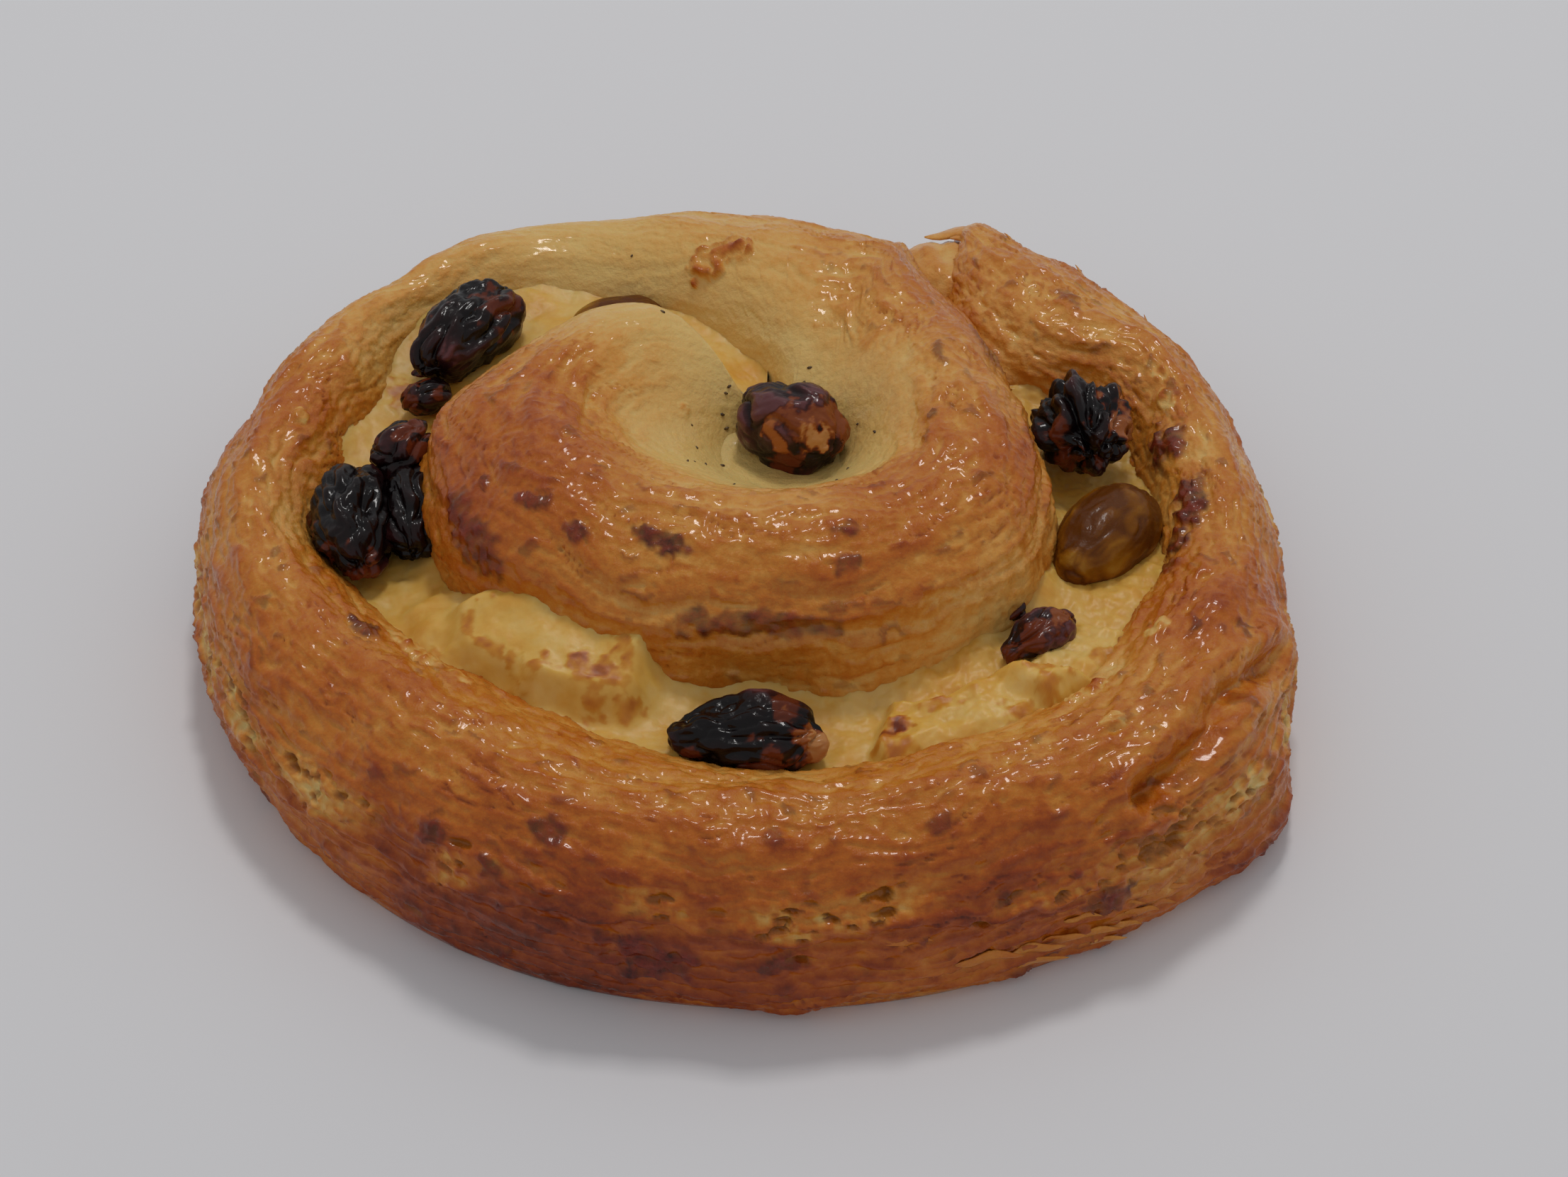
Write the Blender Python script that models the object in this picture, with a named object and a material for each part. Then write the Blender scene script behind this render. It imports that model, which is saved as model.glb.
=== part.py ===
"""A raisin danish pastry: one long strip of laminated dough, coiled flat and baked.

The strip starts at the middle of the coil, rises as a tall heart, passes outward at the back, and
goes once more round as a lower rim. Custard fills the seam between heart and rim, and dried fruit is
sunk in it. Seen from above, the coil angle grows counter-clockwise from +X. The pastry rests on z = 0.
"""
import math

import bmesh
import bpy
import numpy as np

MM = 0.001                                  # every length below is in millimetres, every angle in degrees
TURN = 360.0
CLEARANCE = 0.3                             # left between pieces that touch
SEAM_SLOT = 1.6                             # seam between heart and rim where they meet at the base

# The coil
COIL_CENTRE = (4.45, 7.62)                  # from the middle of the pastry's outline
COIL_START, COIL_END = 120.0, 785.0
SEAM_EXIT = 427.0                           # here the seam runs out through the outer wall
PASSAGE_START = 440.0                       # from here the strip's inner edge leaves the crater
CRATER_RADIUS = 2.2
CORE_RADIUS, CORE_HEIGHT = 3.2, 13.0        # the strip's first tight turn, pressed into one plug
COARSE_STEP, FINE_STEP = 6.0, 3.0
STEEP_STRETCHES = ((120.0, 132.0), (408.0, 432.0), (480.0, 492.0), (768.0, 786.0))
SECTION_POINTS = 18
WAIST = 14.0                                # height of the custard, where heart and rim draw in

# Distance from the coil centre to the strip's outer edge, by coil angle
OUTER_EDGE = {
    120: 14.0, 126: 21.5, 132: 25.0, 150: 28.6, 172: 33.0, 190: 36.5, 212: 37.0, 232: 34.8,
    270: 32.7, 310: 32.3, 328: 30.5, 355: 25.7, 372: 24.6, 390: 25.8, 405: 28.5, 415: 31.6,
    421: 35.2, 427: 41.0, 440: 41.0, 455: 42.8, 470: 46.4, 485: 50.6, 500: 52.6, 520: 56.3,
    560: 60.2, 600: 61.0, 625: 60.2, 650: 60.0, 672: 60.3, 681: 59.0, 690: 55.6, 703: 52.0,
    720: 49.9, 750: 49.2, 785: 49.6}
# Distance from the coil centre to the strip's inner edge, by coil angle
INNER_EDGE = {
    440: 2.2, 450: 6.0, 463: 16.0, 480: 28.5, 500: 39.5, 512: 42.7, 530: 43.8, 555: 47.0,
    577: 44.6, 600: 44.2, 625: 45.2, 665: 42.4, 705: 39.0, 730: 36.3, 740: 34.0, 747: 29.8,
    753: 28.2, 765: 30.4, 775: 34.0, 781: 38.6, 788: 45.0}
# Height of the strip's crest, by coil angle
CREST = {
    120: 17.0, 126: 21.5, 132: 24.6, 150: 26.0, 190: 27.2, 230: 27.5, 320: 27.0, 360: 26.5,
    427: 24.5, 440: 24.3, 460: 23.0, 485: 20.6, 540: 20.0, 585: 19.0, 660: 18.5, 720: 19.0,
    768: 18.5, 785: 15.0}
# Height of the custard in the seam, by coil angle
CUSTARD_TOP = {
    96: 16.0, 120: 17.5, 150: 17.0, 185: 14.5, 225: 15.0, 270: 13.5, 300: 15.0, 330: 14.5,
    360: 12.5, 378: 14.0, 427: 14.5}
CUSTARD_BOTTOM = 0.6
CUSTARD_START, CUSTARD_END = 96.0, 423.0    # from the crater to just inside the outer wall
CUSTARD_LUMPS = (                           # x and y from the coil centre, height, radius
    (-29.8, -24.9, 1.5, 4.0), (-21.9, -30.5, 2.5, 4.5), (-15.5, -35.0, 2.2, 4.0),
    (13.2, -36.0, 2.0, 4.0), (19.9, -32.4, 1.8, 4.0), (27.5, -23.7, 2.2, 4.0))
CORNER_ANGLE, CORNER_WIDTH, CORNER_REACH = 682.0, 8.0, 2.2   # where the rim's foot is tucked under

# Dried fruit: name, centre x and y from the coil centre, z, length, width, height, heading, pitch, kind
RAISIN, SULTANA = "raisin", "sultana"
FRUIT = (
    ("raisin_middle", 0.9, 0.5, 19.6, 12.0, 10.0, 9.4, -14.0, 4.0, RAISIN),
    ("raisin_back_left", -33.8, 17.5, 18.9, 14.8, 9.0, 8.6, 58.0, 4.0, RAISIN),
    ("raisin_back_left_small", -37.5, 8.0, 16.6, 4.8, 3.8, 3.6, 20.0, 0.0, RAISIN),
    ("raisin_left_outer", -42.8, -12.0, 16.8, 13.4, 7.8, 9.2, 99.0, 0.0, RAISIN),
    ("raisin_left_inner", -35.9, -10.4, 15.2, 11.0, 4.6, 8.4, 97.0, 0.0, RAISIN),
    ("raisin_left_small", -39.0, -2.8, 20.2, 6.4, 5.4, 5.2, 60.0, 8.0, RAISIN),
    ("raisin_right", 30.7, 1.4, 18.6, 10.8, 10.2, 9.2, 96.0, -4.0, RAISIN),
    ("sultana_right", 32.0, -11.8, 15.4, 15.0, 8.6, 8.2, 52.0, 0.0, SULTANA),
    ("raisin_front_right", 24.3, -27.1, 15.6, 8.2, 4.8, 4.4, 36.0, 0.0, RAISIN),
    ("raisin_front", -3.3, -40.3, 15.7, 14.6, 7.6, 6.8, -2.0, 0.0, RAISIN),
    ("sultana_back", -17.8, 22.8, 16.2, 10.4, 6.4, 5.6, 12.0, 0.0, SULTANA))
FRUIT_SEGMENTS, FRUIT_RINGS = 14, 9
FRUIT_WRINKLE = 0.05                        # depth of the folds, as a share of the radius
FRUIT_FOLDS = 5
FRUIT_TAPER = 0.12

DOUGH_LOOK = ("baked_dough", (0.62, 0.30, 0.09, 1.0), 0.38)
CUSTARD_LOOK = ("baked_custard", (0.72, 0.52, 0.18, 1.0), 0.45)
FRUIT_LOOKS = {
    RAISIN: ("dark_raisin", (0.02, 0.008, 0.006, 1.0), 0.3),
    SULTANA: ("golden_sultana", (0.18, 0.07, 0.01, 1.0), 0.3)}


def follow(table, angle):
    """The value at an angle, on a smooth curve through a table's points that never overshoots them."""
    x = np.array(list(table), float)
    y = np.array(list(table.values()), float)
    rise = np.diff(y) / np.diff(x)
    same_way = rise[:-1] * rise[1:] > 0
    both = np.where(same_way, rise[:-1] + rise[1:], 1.0)
    inner = np.where(same_way, 2.0 * rise[:-1] * rise[1:] / both, 0.0)
    slope = np.concatenate([rise[:1], inner, rise[-1:]])
    i = int(np.clip(np.searchsorted(x, angle, side="right") - 1, 0, len(x) - 2))
    width = x[i + 1] - x[i]
    t = float(np.clip((angle - x[i]) / width, 0.0, 1.0))
    ease = t * t * (3.0 - 2.0 * t)
    lift = width * (slope[i] * t * (1.0 - t) ** 2 - slope[i + 1] * t * t * (1.0 - t))
    return float(y[i] * (1.0 - ease) + y[i + 1] * ease + lift)


def ramp(angle, start, end):
    """Smooth step from 0 at start to 1 at end."""
    t = min(max((angle - start) / (end - start), 0.0), 1.0)
    return t * t * (3.0 - 2.0 * t)


def seam_middle(angle):
    """Middle of the seam between the heart at this angle and the rim one turn on."""
    return 0.5 * (follow(OUTER_EDGE, angle) + follow(INNER_EDGE, angle + TURN))


def seam_slant(angle):
    """How much wider a radial cut through the seam is than a square one."""
    half_step = 1.0
    rise = seam_middle(angle + half_step) - seam_middle(angle - half_step)
    return math.hypot(1.0, rise / math.radians(2.0 * half_step) / seam_middle(angle))


def foot_inside(angle):
    """Radius of the strip's inner edge where it stands on the table."""
    if angle <= PASSAGE_START:
        return CRATER_RADIUS
    first = COIL_START + TURN
    at = max(angle, first)
    foot = seam_middle(at - TURN) + 0.5 * SEAM_SLOT * seam_slant(at - TURN)
    return max(CRATER_RADIUS, foot * follow(INNER_EDGE, angle) / follow(INNER_EDGE, at))


def foot_outside(angle):
    """Radius of the strip's outer edge where it stands on the table."""
    open_foot = follow(OUTER_EDGE, angle) - 1.0
    if angle >= SEAM_EXIT:
        return open_foot
    seam_foot = seam_middle(angle) - 0.5 * SEAM_SLOT * seam_slant(angle)
    share = ramp(angle, SEAM_EXIT - 20.0, SEAM_EXIT)
    return (1.0 - share) * seam_foot + share * open_foot


def heart_profile(angle):
    """Control points (radius, height) of the heart: a bowl inside, a crown, and a steep wall outside."""
    wall = follow(OUTER_EDGE, angle)
    top = follow(CREST, angle)
    foot = foot_outside(angle)
    return [
        (CRATER_RADIUS, 0.0), (CRATER_RADIUS + 0.2, 6.0), (3.0, WAIST - 1.0),
        (min(5.5, 0.6 * wall), min(17.0, top - 3.0)), (0.38 * wall, min(22.0, top - 1.5)),
        (0.63 * wall, top + 1.2), (0.88 * wall, top - 1.0), (wall + 0.9, top - 7.0),
        (wall + 0.2, WAIST - 1.0), (0.5 * (wall + foot), 6.0), (foot, 0.0)]


def passage_profile(angle):
    """Control points where the strip passes outward at the back, from the crater to the outer wall."""
    inside = follow(INNER_EDGE, max(angle, PASSAGE_START))
    wall = follow(OUTER_EDGE, angle)
    top = follow(CREST, angle)
    foot = foot_inside(angle)
    thick = wall - inside
    return [
        (foot, 0.0), (max(CRATER_RADIUS + 0.2, 0.5 * (foot + inside)), 6.0),
        (max(3.0, inside), WAIST - 1.0), (max(5.5, inside + 2.0), 17.0),
        (max(11.0, inside + 0.22 * thick), 20.5), (inside + 0.5 * thick, top + 0.4),
        (inside + 0.76 * thick, top - 0.8), (wall - 1.0, 0.72 * top), (wall + 0.3, 0.42 * top),
        (wall + 0.3, 0.15 * top), (foot_outside(angle), 0.0)]


def rim_profile(angle):
    """Control points of the rim: a rounded loaf that leans on the custard and bulges at its foot."""
    inside = follow(INNER_EDGE, max(angle, PASSAGE_START))
    wall = follow(OUTER_EDGE, angle)
    top = follow(CREST, angle)
    foot = foot_inside(angle)
    thick = wall - inside
    tuck = CORNER_REACH * math.exp(-((angle - CORNER_ANGLE) / CORNER_WIDTH) ** 2)
    return [
        (foot, 0.0), (0.5 * (foot + inside), 6.0), (inside - 0.6, WAIST - 2.0),
        (inside + 0.6, WAIST + 1.5), (inside + 0.22 * thick, top - 1.2),
        (inside + 0.45 * thick, top + 0.6), (inside + 0.72 * thick, top - 0.6),
        (wall - 0.8, 0.72 * top), (wall + 0.6, 0.42 * top),
        (wall + 0.5 + tuck, 0.15 * top), (wall - 1.0 + tuck, 0.0)]


def spline(points, count):
    """A round profile: a uniform cubic B-spline that starts and ends at the first and last point."""
    ends = [points[0]] * 2, [points[-1]] * 2
    control = np.array(ends[0] + points + ends[1], float)
    spans = len(control) - 3
    at = np.linspace(0.0, spans, count)
    i = np.minimum(at.astype(int), spans - 1)
    t = (at - i)[:, None]
    parts = (
        (1.0 - t) ** 3 * control[i],
        (3.0 * t ** 3 - 6.0 * t ** 2 + 4.0) * control[i + 1],
        (-3.0 * t ** 3 + 3.0 * t ** 2 + 3.0 * t + 1.0) * control[i + 2],
        t ** 3 * control[i + 3])
    return sum(parts) / 6.0


def section(angle, count=SECTION_POINTS):
    """The strip's cross-section at a coil angle, from its inner foot over the crest to its outer foot."""
    to_passage = ramp(angle, SEAM_EXIT - 31.0, SEAM_EXIT)
    to_rim = ramp(angle, PASSAGE_START + 15.0, PASSAGE_START + 50.0)
    heart = np.array(heart_profile(min(angle, SEAM_EXIT)))
    passage = np.array(passage_profile(angle))
    inner_part = heart * (1.0 - to_passage) + passage * to_passage
    blended = inner_part * (1.0 - to_rim) + np.array(rim_profile(angle)) * to_rim
    return spline([tuple(point) for point in blended], count)


def on_coil(angle, radius, height):
    """A point in metres, from its coil angle, its distance from the coil centre and its height."""
    turn = math.radians(angle)
    x = COIL_CENTRE[0] + radius * math.cos(turn)
    y = COIL_CENTRE[1] + radius * math.sin(turn)
    return (x * MM, y * MM, height * MM)


def stations(start, end):
    """Coil angles of the sections, closer together where the strip turns steeply in or out."""
    angles = {start, end}
    for angle in np.arange(COIL_START, COIL_END, FINE_STEP):
        steep = any(low <= angle <= high for low, high in STEEP_STRETCHES)
        if steep or (angle - COIL_START) % COARSE_STEP == 0:
            if start <= angle <= end:
                angles.add(float(angle))
    return sorted(angles)


def look(name, colour, roughness):
    """A plain baked-food material."""
    material = bpy.data.materials.new(name)
    material.use_nodes = True
    shader = material.node_tree.nodes["Principled BSDF"]
    shader.inputs["Base Color"].default_value = colour
    shader.inputs["Roughness"].default_value = roughness
    shader.inputs["Metallic"].default_value = 0.0
    return material


def add_object(name, bm, material, collection):
    """Turn a mesh's faces outward and put it in a collection as one named object."""
    if bm.calc_volume(signed=True) < 0.0:
        bmesh.ops.reverse_faces(bm, faces=bm.faces)
    mesh = bpy.data.meshes.new(name)
    bm.to_mesh(mesh)
    bm.free()
    mesh.shade_smooth()
    if material:
        mesh.materials.append(material)
    obj = bpy.data.objects.new(name, mesh)
    collection.objects.link(obj)
    return obj


def loft(rings):
    """One closed body through rings of points, with a fan of triangles over each end."""
    bm = bmesh.new()
    rows = [[bm.verts.new(point) for point in ring] for ring in rings]
    count = len(rows[0])
    for near, far in zip(rows, rows[1:]):
        for i in range(count):
            j = (i + 1) % count
            bm.faces.new((near[i], near[j], far[j], far[i]))
    for row in (rows[0][::-1], rows[-1]):
        middle = bm.verts.new(np.mean([vert.co for vert in row], axis=0))
        for i in range(count):
            bm.faces.new((row[i], row[(i + 1) % count], middle))
    return bm


def add_cut(target, cutter, operation="DIFFERENCE"):
    """An exact Boolean of one object with another."""
    modifier = target.modifiers.new(cutter.name, "BOOLEAN")
    modifier.operation = operation
    modifier.solver = "EXACT"
    modifier.object = cutter


def hide_cutter(obj):
    """Keep a cutting shape out of renders and show it as wire."""
    obj.hide_render = True
    obj.display_type = "WIRE"


def make_dough(collection, cutters, material):
    """The coiled strip, joined at the coil centre to the plug of its first tight turn."""
    rings = []
    for angle in stations(COIL_START, COIL_END):
        rings.append([on_coil(angle, radius, height) for radius, height in section(angle)])
    dough = add_object("dough_coil", loft(rings), material, collection)
    bm = bmesh.new()
    bmesh.ops.create_cone(
        bm, cap_ends=True, segments=16, radius1=CORE_RADIUS * MM, radius2=CORE_RADIUS * MM,
        depth=CORE_HEIGHT * MM)
    core = add_object("coil_core", bm, None, cutters)
    core.location = (COIL_CENTRE[0] * MM, COIL_CENTRE[1] * MM, 0.5 * CORE_HEIGHT * MM)
    hide_cutter(core)
    add_cut(dough, core, "UNION")
    return dough


def flank(angle, heights, outer):
    """Radius of one side of the strip at some heights, its outer side or its inner one."""
    profile = section(angle, 60)
    if outer:
        profile = profile[::-1]
    crest = int(np.argmax(profile[:, 1]))
    return np.interp(heights, profile[:crest, 1], profile[:crest, 0])


def custard_ring(inner_angle, outer_angle, share):
    """One ring of the custard, between the heart's wall and the rim's.

    Where the two angles differ, the ring fans out of the crater in front of the strip's first end.
    """
    top = follow(CUSTARD_TOP, outer_angle)
    heights = np.array([CUSTARD_BOTTOM, 5.5, 10.0, 12.6, top])
    gap = CLEARANCE * seam_slant(inner_angle)
    inner = flank(inner_angle, heights, True) + gap
    start = CORE_RADIUS + 2.0 * CLEARANCE
    inner = start + (inner - start) * share
    outer = flank(outer_angle + TURN, heights, False) - CLEARANCE * seam_slant(max(outer_angle, COIL_START))
    side_in = [np.array(on_coil(inner_angle, r, h)) for r, h in zip(inner, heights)]
    side_out = [np.array(on_coil(outer_angle, r, h)) for r, h in zip(outer, heights)]
    if share < 1.0 or inner_angle == COIL_START:
        back = math.radians(inner_angle - 90.0)
        step = np.array((math.cos(back), math.sin(back), 0.0)) * CLEARANCE * MM
        side_in = [point + step for point in side_in]
    crown = []
    for t in (0.2, 0.4, 0.6, 0.8):
        point = side_in[-1] * (1.0 - t) + side_out[-1] * t
        lift = 0.0
        for x, y, height, radius in CUSTARD_LUMPS:
            x_away = point[0] / MM - COIL_CENTRE[0] - x
            y_away = point[1] / MM - COIL_CENTRE[1] - y
            away = math.hypot(x_away, y_away) / radius
            lift += height * math.exp(-away * away)
        crown.append(point + np.array((0.0, 0.0, lift * MM)))
    return side_in + crown + side_out[::-1]


def make_custard(collection, material):
    """The filling: a ribbon through the whole seam, from the crater to where the seam runs out."""
    rings = []
    for outer_angle in np.arange(CUSTARD_START, COIL_START, COARSE_STEP):
        share = (outer_angle - CUSTARD_START) / (COIL_START - CUSTARD_START)
        rings.append(custard_ring(COIL_START, outer_angle, share))
    for angle in stations(COIL_START, CUSTARD_END):
        rings.append(custard_ring(angle, angle, 1.0))
    return add_object("custard_filling", loft(rings), material, collection)


def fruit_mesh(length, width, height, extra):
    """A dried grape: an ellipsoid with one blunter end and folds along it, grown by extra all round."""
    bm = bmesh.new()
    bmesh.ops.create_uvsphere(bm, u_segments=FRUIT_SEGMENTS, v_segments=FRUIT_RINGS, radius=1.0)
    for vert in bm.verts:
        along, x, y = vert.co.z, vert.co.x, vert.co.y
        around = math.atan2(y, x)
        fold = 1.0 + FRUIT_WRINKLE * math.cos(FRUIT_FOLDS * around + 2.0 * along)
        round_off = (1.0 + FRUIT_TAPER * along) * fold
        vert.co = (
            along * (0.5 * length + extra) * MM,
            x * round_off * (0.5 * width + extra) * MM,
            y * round_off * (0.5 * height + extra) * MM)
    return bm


def make_fruit(collection, cutters, holders):
    """Every raisin and sultana, and the hollow that each leaves in the dough and the custard."""
    looks = {kind: look(*values) for kind, values in FRUIT_LOOKS.items()}
    for name, x, y, z, length, width, height, heading, pitch, kind in FRUIT:
        piece = add_object(name, fruit_mesh(length, width, height, 0.0), looks[kind], collection)
        hollow = add_object(
            name + "_hollow", fruit_mesh(length, width, height, CLEARANCE), None, cutters)
        hide_cutter(hollow)
        for obj in (piece, hollow):
            obj.location = ((COIL_CENTRE[0] + x) * MM, (COIL_CENTRE[1] + y) * MM, z * MM)
            obj.rotation_euler = (0.0, math.radians(-pitch), math.radians(heading))
        for holder in holders:
            add_cut(holder, hollow)


def main():
    for obj in list(bpy.data.objects):
        bpy.data.objects.remove(obj, do_unlink=True)
    pastry = bpy.data.collections.new("raisin_danish_pastry")
    cutters = bpy.data.collections.new("cutters")
    for collection in (pastry, cutters):
        bpy.context.scene.collection.children.link(collection)
    dough = make_dough(pastry, cutters, look(*DOUGH_LOOK))
    custard = make_custard(pastry, look(*CUSTARD_LOOK))
    make_fruit(pastry, cutters, (dough, custard))


main()
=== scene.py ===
# %% [markdown]
# # A raisin danish, made as a baker makes it
# The pastry is one flat strip of laminated dough, spread with custard, scattered with raisins, coiled
# up and baked. Every surface below is worked out with numpy from that strip: a cross-section carried
# along the coil, then raised and lowered by the bake's own wrinkles, blisters and layers.

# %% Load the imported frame
import itertools
import math
import bpy
import numpy as np
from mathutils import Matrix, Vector


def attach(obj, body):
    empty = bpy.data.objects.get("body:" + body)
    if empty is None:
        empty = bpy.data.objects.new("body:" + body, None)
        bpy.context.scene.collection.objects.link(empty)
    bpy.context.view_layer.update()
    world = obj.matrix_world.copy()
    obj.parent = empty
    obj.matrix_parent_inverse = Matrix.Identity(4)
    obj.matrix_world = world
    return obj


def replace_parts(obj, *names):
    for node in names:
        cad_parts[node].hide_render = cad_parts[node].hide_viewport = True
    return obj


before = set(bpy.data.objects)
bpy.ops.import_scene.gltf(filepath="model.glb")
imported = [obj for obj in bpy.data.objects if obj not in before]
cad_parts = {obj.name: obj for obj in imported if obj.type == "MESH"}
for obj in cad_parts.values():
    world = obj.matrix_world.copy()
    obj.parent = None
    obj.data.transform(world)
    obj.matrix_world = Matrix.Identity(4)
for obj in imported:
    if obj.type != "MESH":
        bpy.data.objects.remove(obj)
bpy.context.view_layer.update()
MM = 0.001
TURN = 360.0

# %% [markdown]
# ## The coil
# On the real pastry the strip starts in the middle, rises as the heart, passes outward at the back and
# goes once more round as the rim. It could be sculpted, but a few distances from the coil's centre say
# all of it: where the strip's outer and inner edges run, how high its crest is, and how the
# cross-section is shaped. A smooth curve is drawn through each short table.

# %% Driving sizes of the coil, in millimetres and degrees
middle_x, middle_y = 4.45, 7.62
coil_start, coil_end = 120.0, 785.0
seam_exit = 427.0
passage_start = 440.0
crater_radius = 2.2
waist = 14.0
seam_slot = 0.8
outer_edge = {
    120: 14.0, 126: 21.5, 132: 25.0, 150: 28.6, 172: 33.0, 190: 36.5, 212: 37.0, 232: 34.8,
    270: 32.7, 310: 32.3, 328: 30.5, 355: 25.7, 372: 24.6, 390: 25.8, 405: 28.5, 415: 31.6,
    421: 35.2, 427: 41.0, 440: 41.0, 455: 42.3, 470: 46.0, 485: 50.6, 500: 52.6, 520: 56.3,
    560: 60.2, 600: 61.0, 625: 60.2, 650: 60.0, 672: 60.3, 681: 59.0, 690: 55.6, 703: 52.0,
    720: 49.2, 740: 48.0, 752: 47.8, 785: 49.6}
inner_edge = {
    440: 2.2, 450: 6.0, 463: 16.0, 480: 28.5, 500: 39.5, 512: 42.7, 530: 43.8, 555: 47.0,
    577: 43.8, 600: 41.8, 625: 43.2, 665: 42.0, 705: 39.0, 730: 36.3, 740: 33.0, 747: 27.6,
    753: 25.4, 765: 26.4, 775: 30.0, 781: 34.6, 788: 41.5}
crest_height = {
    120: 17.0, 126: 21.5, 132: 24.6, 150: 26.0, 190: 27.2, 230: 27.5, 320: 27.0, 360: 26.5,
    427: 24.5, 440: 24.3, 460: 22.6, 485: 20.4, 540: 20.0, 585: 19.0, 660: 18.5, 720: 19.0,
    768: 20.4, 779: 20.4, 785: 19.4}


def follow(table, angle):
    """Smooth value at each angle: a cubic through the table's points that never overshoots them."""
    x = np.array(list(table), float)
    y = np.array(list(table.values()), float)
    rise = np.diff(y) / np.diff(x)
    same_way = rise[:-1] * rise[1:] > 0
    both = np.where(same_way, rise[:-1] + rise[1:], 1.0)
    slope = np.concatenate([rise[:1], np.where(same_way, 2 * rise[:-1] * rise[1:] / both, 0), rise[-1:]])
    i = np.clip(np.searchsorted(x, angle, side="right") - 1, 0, len(x) - 2)
    width = x[i + 1] - x[i]
    t = np.clip((angle - x[i]) / width, 0, 1)
    ease = t * t * (3 - 2 * t)
    lift = width * (slope[i] * t * (1 - t) ** 2 - slope[i + 1] * t * t * (1 - t))
    return y[i] * (1 - ease) + y[i + 1] * ease + lift


def ramp(value, start, end):
    """Smooth step: 0 at start, 1 at end."""
    t = np.clip((value - start) / (end - start), 0, 1)
    return t * t * (3 - 2 * t)


def bell(value, centre, width):
    """1 at the centre, falling off as a bell curve of that width."""
    return np.exp(-((value - centre) / width) ** 2)


# %% [markdown]
# The strip's feet meet at the seam, a little apart. Heart, passage and rim each have eleven control
# points for their cross-section, and the section at any angle is a blend of them, rounded by a cubic
# B-spline. The control points are arrays over all angles, so one call makes the whole strip.


# %% The strip's cross-section at many angles at once
def seam_middle(angle):
    """Middle of the seam between this turn's outer edge and the next turn's inner edge."""
    return 0.5 * (follow(outer_edge, angle) + follow(inner_edge, angle + TURN))


def seam_slant(angle):
    """How much longer a radial cut across the seam is than a square one."""
    rise = seam_middle(angle + 1.0) - seam_middle(angle - 1.0)
    return np.hypot(1.0, rise / math.radians(2.0) / seam_middle(angle))


def feet(angle):
    """Radius of the strip's inner foot and of its outer foot."""
    first = coil_start + TURN
    at = np.maximum(angle, first)
    foot = seam_middle(at - TURN) + seam_slot * seam_slant(at - TURN)
    foot = foot * follow(inner_edge, angle) / follow(inner_edge, at)
    inside = np.where(angle <= passage_start, crater_radius, np.maximum(crater_radius, foot))
    share = ramp(angle, seam_exit - 20.0, seam_exit)
    seam_foot = seam_middle(angle) - seam_slot * seam_slant(angle)
    outside = (1 - share) * seam_foot + share * (follow(outer_edge, angle) - 1.0)
    return inside, outside


def control_points(angle):
    """Eleven (radius, height) control points of the section at each angle."""
    inside = follow(inner_edge, np.maximum(angle, passage_start))
    wall = follow(outer_edge, angle)
    top = follow(crest_height, angle)
    foot_in, foot_out = feet(angle)
    thick = wall - inside
    tuck = 2.2 * bell(angle, 682.0, 8.0)
    zero = np.zeros_like(wall)
    heart = [
        (crater_radius, 0), (crater_radius + 0.2, 6), (3, waist - 1),
        (np.minimum(5.5, 0.6 * wall), np.minimum(17, top - 3)),
        (0.38 * wall, np.minimum(22, top - 1.5)), (0.63 * wall, top + 1.2), (0.88 * wall, top - 1),
        (wall + 0.9, top - 7), (wall + 0.2, waist - 1), (0.5 * (wall + foot_out), 6), (foot_out, 0)]
    passage = [
        (foot_in, 0), (np.maximum(crater_radius + 0.2, 0.5 * (foot_in + inside)), 6),
        (np.maximum(3, inside), waist - 1), (np.maximum(5.5, inside + 2), 17),
        (np.maximum(11, inside + 0.22 * thick), 20.5), (inside + 0.5 * thick, top + 0.4),
        (inside + 0.76 * thick, top - 0.8), (wall - 1, 0.72 * top), (wall + 0.3, 0.42 * top),
        (wall + 0.3, 0.15 * top), (foot_out, 0)]
    rim = [
        (foot_in, 0), (0.5 * (foot_in + inside), 6), (inside - 0.6, waist - 2),
        (inside + 0.6, waist + 1.5), (inside + 0.22 * thick, top - 1.2),
        (inside + 0.45 * thick, top + 0.6), (inside + 0.72 * thick, top - 0.6),
        (wall - 0.8, 0.72 * top), (wall + 0.6, 0.42 * top), (wall + 0.5 + tuck, 0.15 * top),
        (wall - 1 + tuck, 0)]

    def stack(kind):
        """One kind's points as an array: angles, points, (radius, height)."""
        return np.stack([np.stack([r + zero, h + zero], -1) for r, h in kind], 1)

    to_passage = ramp(angle, seam_exit - 31, seam_exit)[:, None, None]
    to_rim = ramp(angle, passage_start + 15, passage_start + 50)[:, None, None]
    inner = stack(heart) * (1 - to_passage) + stack(passage) * to_passage
    return inner * (1 - to_rim) + stack(rim) * to_rim


def section(angle, t):
    """Points (radius, height) of the rounded section, t from 0 at the inner foot to 1 at the outer."""
    points = control_points(angle)
    points = np.concatenate([points[:, :1]] * 2 + [points] + [points[:, -1:]] * 2, 1)
    spans = points.shape[1] - 3
    at = np.clip(t * spans, 0, spans - 1e-9)
    i = at.astype(int)
    f = (at - i)[None, :, None]
    return (
        (1 - f) ** 3 * points[:, i] + (3 * f ** 3 - 6 * f ** 2 + 4) * points[:, i + 1]
        + (-3 * f ** 3 + 3 * f ** 2 + 3 * f + 1) * points[:, i + 2] + f ** 3 * points[:, i + 3]) / 6


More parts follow.
